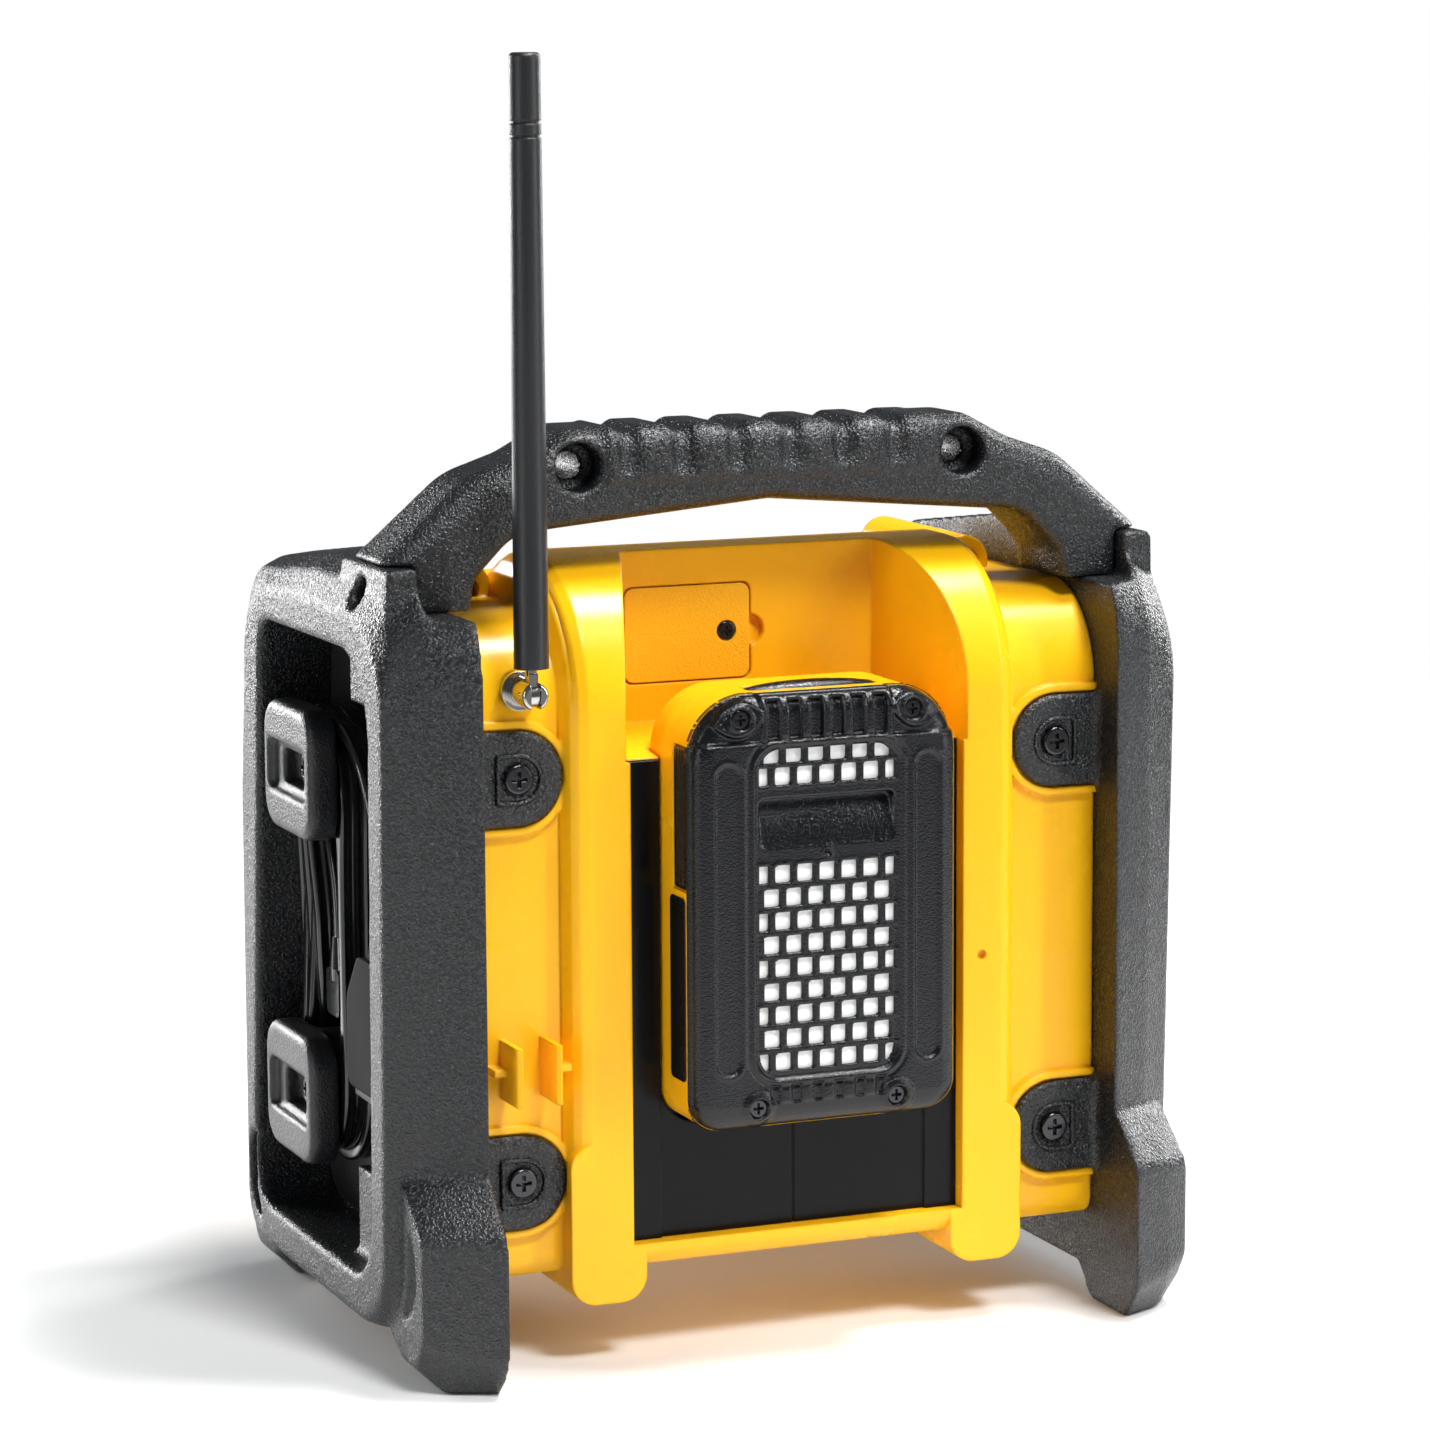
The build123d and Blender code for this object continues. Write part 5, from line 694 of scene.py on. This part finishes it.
def casing_depth(x, z):
    """How deep the casing's outer face lies at a place, in millimetres"""
    depth = np.interp(-casing_outline(x, z), EDGE_INSIDE, EDGE_DEPTH)
    window = box_distance(x, z, WINDOW_MIDDLE, (20.6, 43.9), 6.5)
    depth += 1.0 * ramp(-window, 0.0, 0.5)
    depth += 0.35 * ridge(window, 1.9, 0.45)
    depth -= 0.3 * ridge(window, 0.8, 0.5)
    # Every hole has a soft raised lip
    depth -= 0.18 * ridge(hole_distance(x, z), 0.45, 0.35)
    # Sunken label panels on both sides of the window
    for side in (1, -1):
        label = box_distance(x, z, (side * 28.2, 119.8), (3.7, 41.0), 3.5)
        depth += 0.6 * ramp(-label, 0.0, 0.5)
        depth -= 0.2 * ridge(label, 0.5, 0.4)
    # Finger groove: an overhung upper edge and a long curved floor
    groove = box_distance(x, z, (0, 144.4), (19.4, 6.7), 2.4)
    floor = np.clip((z - 138.0) / 11.0, 0, 1) ** 1.5
    depth += ramp(-groove, 0.0, 0.7) * (0.3 + 3.4 * floor)
    vent = np.hypot(x, z - 135.9)
    depth += 0.9 * ramp(0.9 - vent, 0.0, 0.3) - 0.25 * ridge(vent, 1.3, 0.35)
    # Slots between the ribs along the upper and the lower edge
    for centre in (-15.0, -9.0, -3.0, 3.0, 9.0, 15.0):
        slot = box_distance(x, z, (centre, 171.4), (2.0, 5.4), 0.6)
        depth += 2.2 * ramp(-slot, 0.0, 0.5)
        low = box_distance(x, z, (centre, 73.0), (1.7, 2.7), 0.6)
        depth += 1.3 * ramp(-low, 0.0, 0.5)
    for side in (1, -1):
        for step in screw_depth(x, z, side):
            depth += step
    skirt = np.clip((70.6 - z) / 7.0, 0, 1)
    return depth + 1.4 * skirt + 0.7 * ramp(70.9 - z, 0.0, 0.6) * ramp(19.0 - np.abs(x), 0.0, 3.0)


def drawn_grid(across, up, columns, rows):
    """Points of an even grid over two spans, as two arrays with a row for each height"""
    first = np.linspace(*across, columns + 1)[None, :].repeat(rows + 1, 0)
    second = np.linspace(*up, rows + 1)[:, None].repeat(columns + 1, 1)
    return first, second


def grid_verts(shape, *places):
    """Vertices at the points of three arrays in millimetres"""
    flat = [place.flat for place in places]
    return [shape.verts.new((a * MM, b * MM, c * MM)) for a, b, c in zip(*flat)]


def drawn_to_edges(x, z, step):
    """Moves the points near an edge of the casing or a hole onto it, so that it runs smooth"""
    probe, span = 0.02, 0.04
    for distance in (casing_outline, hole_distance):
        for _ in range(2):
            away = distance(x, z)
            slope_x = (distance(x + probe, z) - distance(x - probe, z)) / span
            slope_z = (distance(x, z + probe) - distance(x, z - probe)) / span
            near = np.abs(away) < 0.62 * step
            x = np.where(near, x - away * slope_x, x)
            z = np.where(near, z - away * slope_z, z)
    return x, z


def casing_mesh(step):
    """Outer casing of the battery: a fine relief, its grid cut through and its rim turned back"""
    counts = [int(size / step) for size in CASING_SIZE]
    x, z = drawn_to_edges(*drawn_grid(CASING_SPAN_X, CASING_SPAN_Z, *counts), step)
    shape = bmesh.new()
    verts = grid_verts(shape, x, CASING_FACE - casing_depth(x, z), z)
    middle_x = (x[:-1, :-1] + x[1:, 1:]) / 2
    middle_z = (z[:-1, :-1] + z[1:, 1:]) / 2
    solid = casing_outline(middle_x, middle_z) < 0
    solid &= hole_distance(middle_x, middle_z) > 0
    width = x.shape[1]
    for row, column in zip(*np.nonzero(solid)):
        first = row * width + column
        corners = (first, first + width, first + width + 1, first + 1)
        shape.faces.new([verts[corner] for corner in corners])
    loose = [vert for vert in shape.verts if not vert.link_faces]
    bmesh.ops.delete(shape, geom=loose, context="VERTS")
    rim = [edge for edge in shape.edges if edge.is_boundary]
    turned = bmesh.ops.extrude_edge_only(shape, edges=rim)["geom"]
    low, high = WINDOW_REACH_Z
    for vert in [item for item in turned if isinstance(item, bmesh.types.BMVert)]:
        beside = abs(vert.co.x) > WINDOW_REACH_X * MM
        outer = beside or not low * MM < vert.co.z < high * MM
        vert.co.y = CASING_RIM * MM if outer else vert.co.y - HOLE_WALL * MM
    return finished_mesh(shape, "pack_casing")


def grip_mesh(side):
    """Ribbed grip that wraps the casing's side: upright ridges under a flat frame"""
    y, z = drawn_grid(GRIP_SPAN_Y, GRIP_SPAN_Z, *GRIP_COUNTS)
    edge = box_distance(y, z, GRIP_MIDDLE, GRIP_HALF, 1.4)
    ridges = 0.5 + 0.5 * np.cos((y - GRIP_MIDDLE[0]) * 2 * math.pi / RIDGE_PITCH)
    out = GRIP_OUT - 0.75 * ramp(edge, -0.5, 0.0) - 0.6 * ridges * ramp(-edge, 0.9, 1.3)
    shape = bmesh.new()
    verts = grid_verts(shape, side * out, y, z)
    width = y.shape[1]
    for row in range(y.shape[0] - 1):
        for column in range(width - 1):
            first = row * width + column
            corners = (first, first + 1, first + width + 1, first + width)
            shape.faces.new([verts[corner] for corner in corners[::side]])
    return finished_mesh(shape, "grip")


def inlay_mesh(side):
    """Black inlay let into the casing's side below the grip"""
    shape = bmesh.new()
    corners = bmesh.ops.create_cube(shape, size=1.0)["verts"]
    place_corners(shape, corners, (0.6, 10.2, 48.5), (side * 37.5, 69.4, 101.0))
    upright = [
        edge for edge in shape.edges if abs(edge.verts[0].co.x - edge.verts[1].co.x) > 0.1 * MM
    ]
    rounding = {"offset": 1.6 * MM, "segments": 4, "profile": 0.5}
    bmesh.ops.bevel(shape, geom=upright, affect="EDGES", material=-1, **rounding)
    return finished_mesh(shape, "inlay", smooth=False)


def carrier_mesh():
    """White faces of the cell carrier behind the holes, above and below the finger groove"""
    shape = bmesh.new()
    for low, high in ((77.8, 134.4), (153.4, 164.6)):
        corners = bmesh.ops.create_cube(shape, size=1.0)["verts"]
        place_corners(shape, corners, (40.0, 0.8, high - low), (0.0, 78.7, (low + high) / 2))
    return finished_mesh(shape, "carrier", smooth=False)


def latch_mesh():
    """Low lens-shaped latch button in the top of the pack"""
    rise, sunk = 2.6, 3.6
    low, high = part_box("pack_latch")
    shape = bmesh.new()
    sphere = bmesh.ops.create_uvsphere(shape, u_segments=64, v_segments=32, radius=1.0)["verts"]
    half = (high - low) / 2
    bmesh.ops.scale(shape, vec=(half.x, half.y, rise * MM), verts=sphere)
    middle = (low + high) / 2
    bmesh.ops.translate(shape, vec=(middle.x, middle.y, high.z - sunk * MM), verts=sphere)
    return finished_mesh(shape, "latch")


class RADIO_OT_battery(bpy.types.Operator):
    """Battery pack: yellow inner casing, black gridded outer casing, cells and latch"""

    bl_idname = "radio.battery"
    bl_label = "Battery pack"

    def execute(self, context):
        colours = context.scene.radio_colours
        finish = context.scene.radio_finish
        grain = finish.fine_grain
        look = {"edge": 0.0008, "edge_highlight": 0.05, "level": 0.32}
        yellow = moulded("Pack yellow", colours.shell, 0.26, grain, 0.000012, **look)
        wear_nodes(yellow, "pack_inner_shell")
        look = {"edge": 0.0004, "edge_highlight": 0.1, "level": 0.38}
        black = moulded("Pack black", colours.pack, 0.22, grain, 0.00004, **look)
        step = 0.42
        casing = casing_mesh(step)
        keep(casing, "pack_casing", "battery", black, ("pack_outer_shell",))
        for side, name in ((1, "left"), (-1, "right")):
            keep(grip_mesh(side), f"pack_grip_{name}", "battery", black)
            keep(inlay_mesh(side), f"pack_inlay_{name}", "battery", black)
        keep(latch_mesh(), "pack_latch_button", "latch", black, ("pack_latch",))
        white = moulded("Cell carrier", colours.carrier, 0.5, edge_highlight=0.0)
        wear_nodes(white, "pack_cell_carrier")
        keep(carrier_mesh(), "pack_carrier_face", "battery", white)
        wear_nodes(moulded("Cell wrap", (0.02, 0.12, 0.25), 0.35), "pack_cells")
        return {"FINISHED"}


class RADIO_OT_antenna(bpy.types.Operator):
    """Folding antenna on its plated knuckle"""

    bl_idname = "radio.antenna"
    bl_label = "Antenna"

    def execute(self, context):
        colours = context.scene.radio_colours
        plated = metal("Nickel plate", (0.5, 0.49, 0.47), 0.14)
        wear_nodes(plated, "antenna_bush", "antenna_knuckle", "antenna_pin", "antenna_rod")
        sleeve = moulded("Antenna sleeve", colours.rubber, 0.42, 0.0005, 0.00002, edge_highlight=0.1)
        wear_nodes(sleeve, "antenna_sleeve")
        return {"FINISHED"}


class RADIO_OT_sides(bpy.types.Operator):
    """Recessed side panels, cord cleats and the covered socket"""

    bl_idname = "radio.sides"
    bl_label = "Side panels and cleats"

    def execute(self, context):
        colours = context.scene.radio_colours
        finish = context.scene.radio_finish
        panel = moulded("Side panel", colours.fittings, 0.5, finish.fine_grain, 0.00005)
        # Cleats wear a lighter copy of the fittings colour: painted light standing in for the light
        # that falls on them
        lit_fittings = [1.6 * c for c in colours.fittings]
        look = {"edge": 0.0014, "edge_highlight": 0.15}
        cleat = moulded("Cleat matt", lit_fittings, 0.38, finish.grain, 0.00008, **look)
        wear_nodes(panel, "cord_panel", "side_panel")
        wear_nodes(moulded("Socket", colours.fittings, 0.3), "aux_jack")
        wear_nodes(moulded("Flap rubber", colours.rubber, 0.55), "aux_flap")
        for level in ("lower", "upper"):
            parts = (f"cord_cleat_{level}",)
            softened(parts, f"cleat_{level}", "radio", cleat, 0.0007, 4)
        return {"FINISHED"}


class RADIO_OT_controls(bpy.types.Operator):
    """Fascia with its display, buttons and knobs"""

    bl_idname = "radio.controls"
    bl_label = "Controls"

    def execute(self, context):
        colours = context.scene.radio_colours
        finish = context.scene.radio_finish
        grain = finish.fine_grain
        fascia = moulded("Fascia", colours.fittings, 0.34, grain, 0.00003, coat=0.2)
        wear_nodes(fascia, "control_fascia")
        wear_nodes(display_glass(), "display_window")
        wear_nodes(moulded("Display face", (0.33, 0.42, 0.3), 0.6, edge_highlight=0.0), "display_module")
        keys = moulded("Button rubber", (0.05, 0.052, 0.056), 0.5, edge=0.0008)
        wear_nodes(keys, *[f"button_{index}" for index in range(1, 6)])
        knob = moulded("Knob", colours.rubber, 0.4, 0.0005, 0.00003)
        wear_nodes(knob, "volume_knob", "tuning_knob")
        wear_nodes(metal("Encoder steel", (0.5, 0.5, 0.5), 0.35), "knob_encoders")
        return {"FINISHED"}


class RADIO_OT_sound(bpy.types.Operator):
    """Speakers behind their grilles, and the works inside"""

    bl_idname = "radio.sound"
    bl_label = "Speakers and works"

    def execute(self, context):
        painted = moulded("Grille paint", (0.02, 0.02, 0.021), 0.38, 0.0006, 0.00003)
        wear_nodes(painted, "speaker_grille_left", "speaker_grille_right")
        cone = moulded("Speaker cone", (0.03, 0.03, 0.032), 0.6)
        wear_nodes(cone, "speaker_left", "speaker_right")
        board = moulded("Board", (0.01, 0.09, 0.04), 0.35, coat=0.3)
        wear_nodes(board, "main_board", "button_board")
        wear_nodes(metal("Core steel", (0.28, 0.28, 0.29), 0.4), "transformer")
        return {"FINISHED"}


class RADIO_OT_fasteners(bpy.types.Operator):
    """Blackened screws"""

    bl_idname = "radio.fasteners"
    bl_label = "Fasteners"

    def execute(self, context):
        black = metal("Blackened steel", (0.06, 0.06, 0.064), 0.18)
        wear_nodes(
            black,
            "handle_leg_screws",
            "lug_screws_rear",
            "lug_screws_front",
            "shoulder_screws",
            "pack_screws",
            "cell_cover_screw",
            "cleat_screws",
        )
        return {"FINISHED"}


class RADIO_OT_stage(bpy.types.Operator):
    """Pale floor, soft studio lights and a white surround"""

    bl_idname = "radio.stage"
    bl_label = "Stage"

    def execute(self, context):
        scene = context.scene
        shape = bmesh.new()
        bmesh.ops.create_grid(shape, x_segments=1, y_segments=1, size=6.0)
        floor = bpy.data.objects.new("floor", finished_mesh(shape, "floor", smooth=False))
        scene.collection.objects.link(floor)
        floor.data.materials.append(self.pale_floor(scene.radio_colours.floor))
        scene.world = self.surround()
        sun = bpy.data.lights.new("sky_key", "SUN")
        sun.energy = 2.35
        sun.angle = math.radians(14)
        self.aim(scene, sun, (-0.25, 1.15, 1.85))
        for name, place, size, power in LIGHTS:
            light = bpy.data.lights.new(name, "AREA")
            light.shape = "RECTANGLE"
            light.size, light.size_y = size
            light.energy = power
            self.aim(scene, light, place)
        scene.view_settings.view_transform = "Standard"
        return {"FINISHED"}

    def pale_floor(self, tint):
        """Matt floor that fades into the white surround away from the radio"""
        material, tree, shader = plain_material("Floor", tint, 0.6)
        away = node(tree, "VectorMath", {0: on_object(tree)}, operation="LENGTH")
        fade = ranged(tree, away.outputs["Value"], (0.3, 1.3), (0.0, 1.0), smooth=True)
        # The camera sees the glow in full, and the radio is lit by a fifth of it
        seen = node(tree, "LightPath").outputs["Is Camera Ray"]
        strength = ranged(tree, seen, (0.0, 1.0), (0.2, 1.0))
        glow = node(tree, "Emission", {"Color": (1.0, 1.0, 1.0, 1.0), "Strength": strength})
        sources = {1: shader.outputs["BSDF"], 2: glow.outputs["Emission"]}
        mixed = node(tree, "MixShader", {"Fac": fade, **sources})
        feed(tree, tree.nodes["Material Output"], {"Surface": mixed.outputs["Shader"]})
        return material

    def aim(self, scene, light, place):
        """Puts a light at a place, facing the radio"""
        lamp = bpy.data.objects.new(light.name, light)
        lamp.location = place
        ahead = Vector(LIGHT_TARGET) - Vector(place)
        lamp.rotation_euler = ahead.to_track_quat("-Z", "Y").to_euler()
        scene.collection.objects.link(lamp)

    def surround(self):
        """White surround that lights the radio only weakly, so that black plastic stays dark"""
        world = bpy.data.worlds.new("Studio")
        world.use_nodes = True
        tree = world.node_tree
        white = {"Color": (1.0, 1.0, 1.0, 1.0), "Strength": 1.0}
        seen = feed(tree, tree.nodes["Background"], white)
        lit = node(tree, "Background", {"Color": (0.9, 0.95, 1.0, 1.0), "Strength": 0.12})
        rays = node(tree, "LightPath")
        sources = {1: lit.outputs["Background"], 2: seen.outputs["Background"]}
        mixed = node(tree, "MixShader", {"Fac": rays.outputs["Is Camera Ray"], **sources})
        feed(tree, tree.nodes["World Output"], {"Surface": mixed.outputs["Shader"]})
        return world


STEPS = (
    RADIO_OT_camera,
    RADIO_OT_cord,
    RADIO_OT_cage,
    RADIO_OT_housing,
    RADIO_OT_dock,
    RADIO_OT_battery,
    RADIO_OT_antenna,
    RADIO_OT_sides,
    RADIO_OT_controls,
    RADIO_OT_sound,
    RADIO_OT_fasteners,
    RADIO_OT_stage,
)


class RADIO_PT_panel(bpy.types.Panel):
    """Lists the radio's settings and building steps"""

    bl_label = "Jobsite radio"
    bl_idname = "RADIO_PT_panel"
    bl_space_type = "VIEW_3D"
    bl_region_type = "UI"
    bl_category = "Radio"

    def draw(self, context):
        layout, scene = self.layout, context.scene
        for group in (scene.radio_colours, scene.radio_finish, scene.radio_cord):
            box = layout.box()
            for name in group.__annotations__:
                box.prop(group, name)
        for step in STEPS:
            layout.operator(step.bl_idname)


CLASSES = (RadioColours, RadioFinish, RadioCord, *STEPS, RADIO_PT_panel)


def register():
    for entry in CLASSES:
        bpy.utils.register_class(entry)
    bpy.types.Scene.radio_colours = PointerProperty(type=RadioColours)
    bpy.types.Scene.radio_finish = PointerProperty(type=RadioFinish)
    bpy.types.Scene.radio_cord = PointerProperty(type=RadioCord)


def unregister():
    del bpy.types.Scene.radio_colours
    del bpy.types.Scene.radio_finish
    del bpy.types.Scene.radio_cord
    for entry in reversed(CLASSES):
        bpy.utils.unregister_class(entry)


def main():
    """Builds the scene step by step"""
    register()
    for step in STEPS:
        group, name = step.bl_idname.split(".")
        getattr(getattr(bpy.ops, group), name)()


if __name__ == "__main__":
    main()
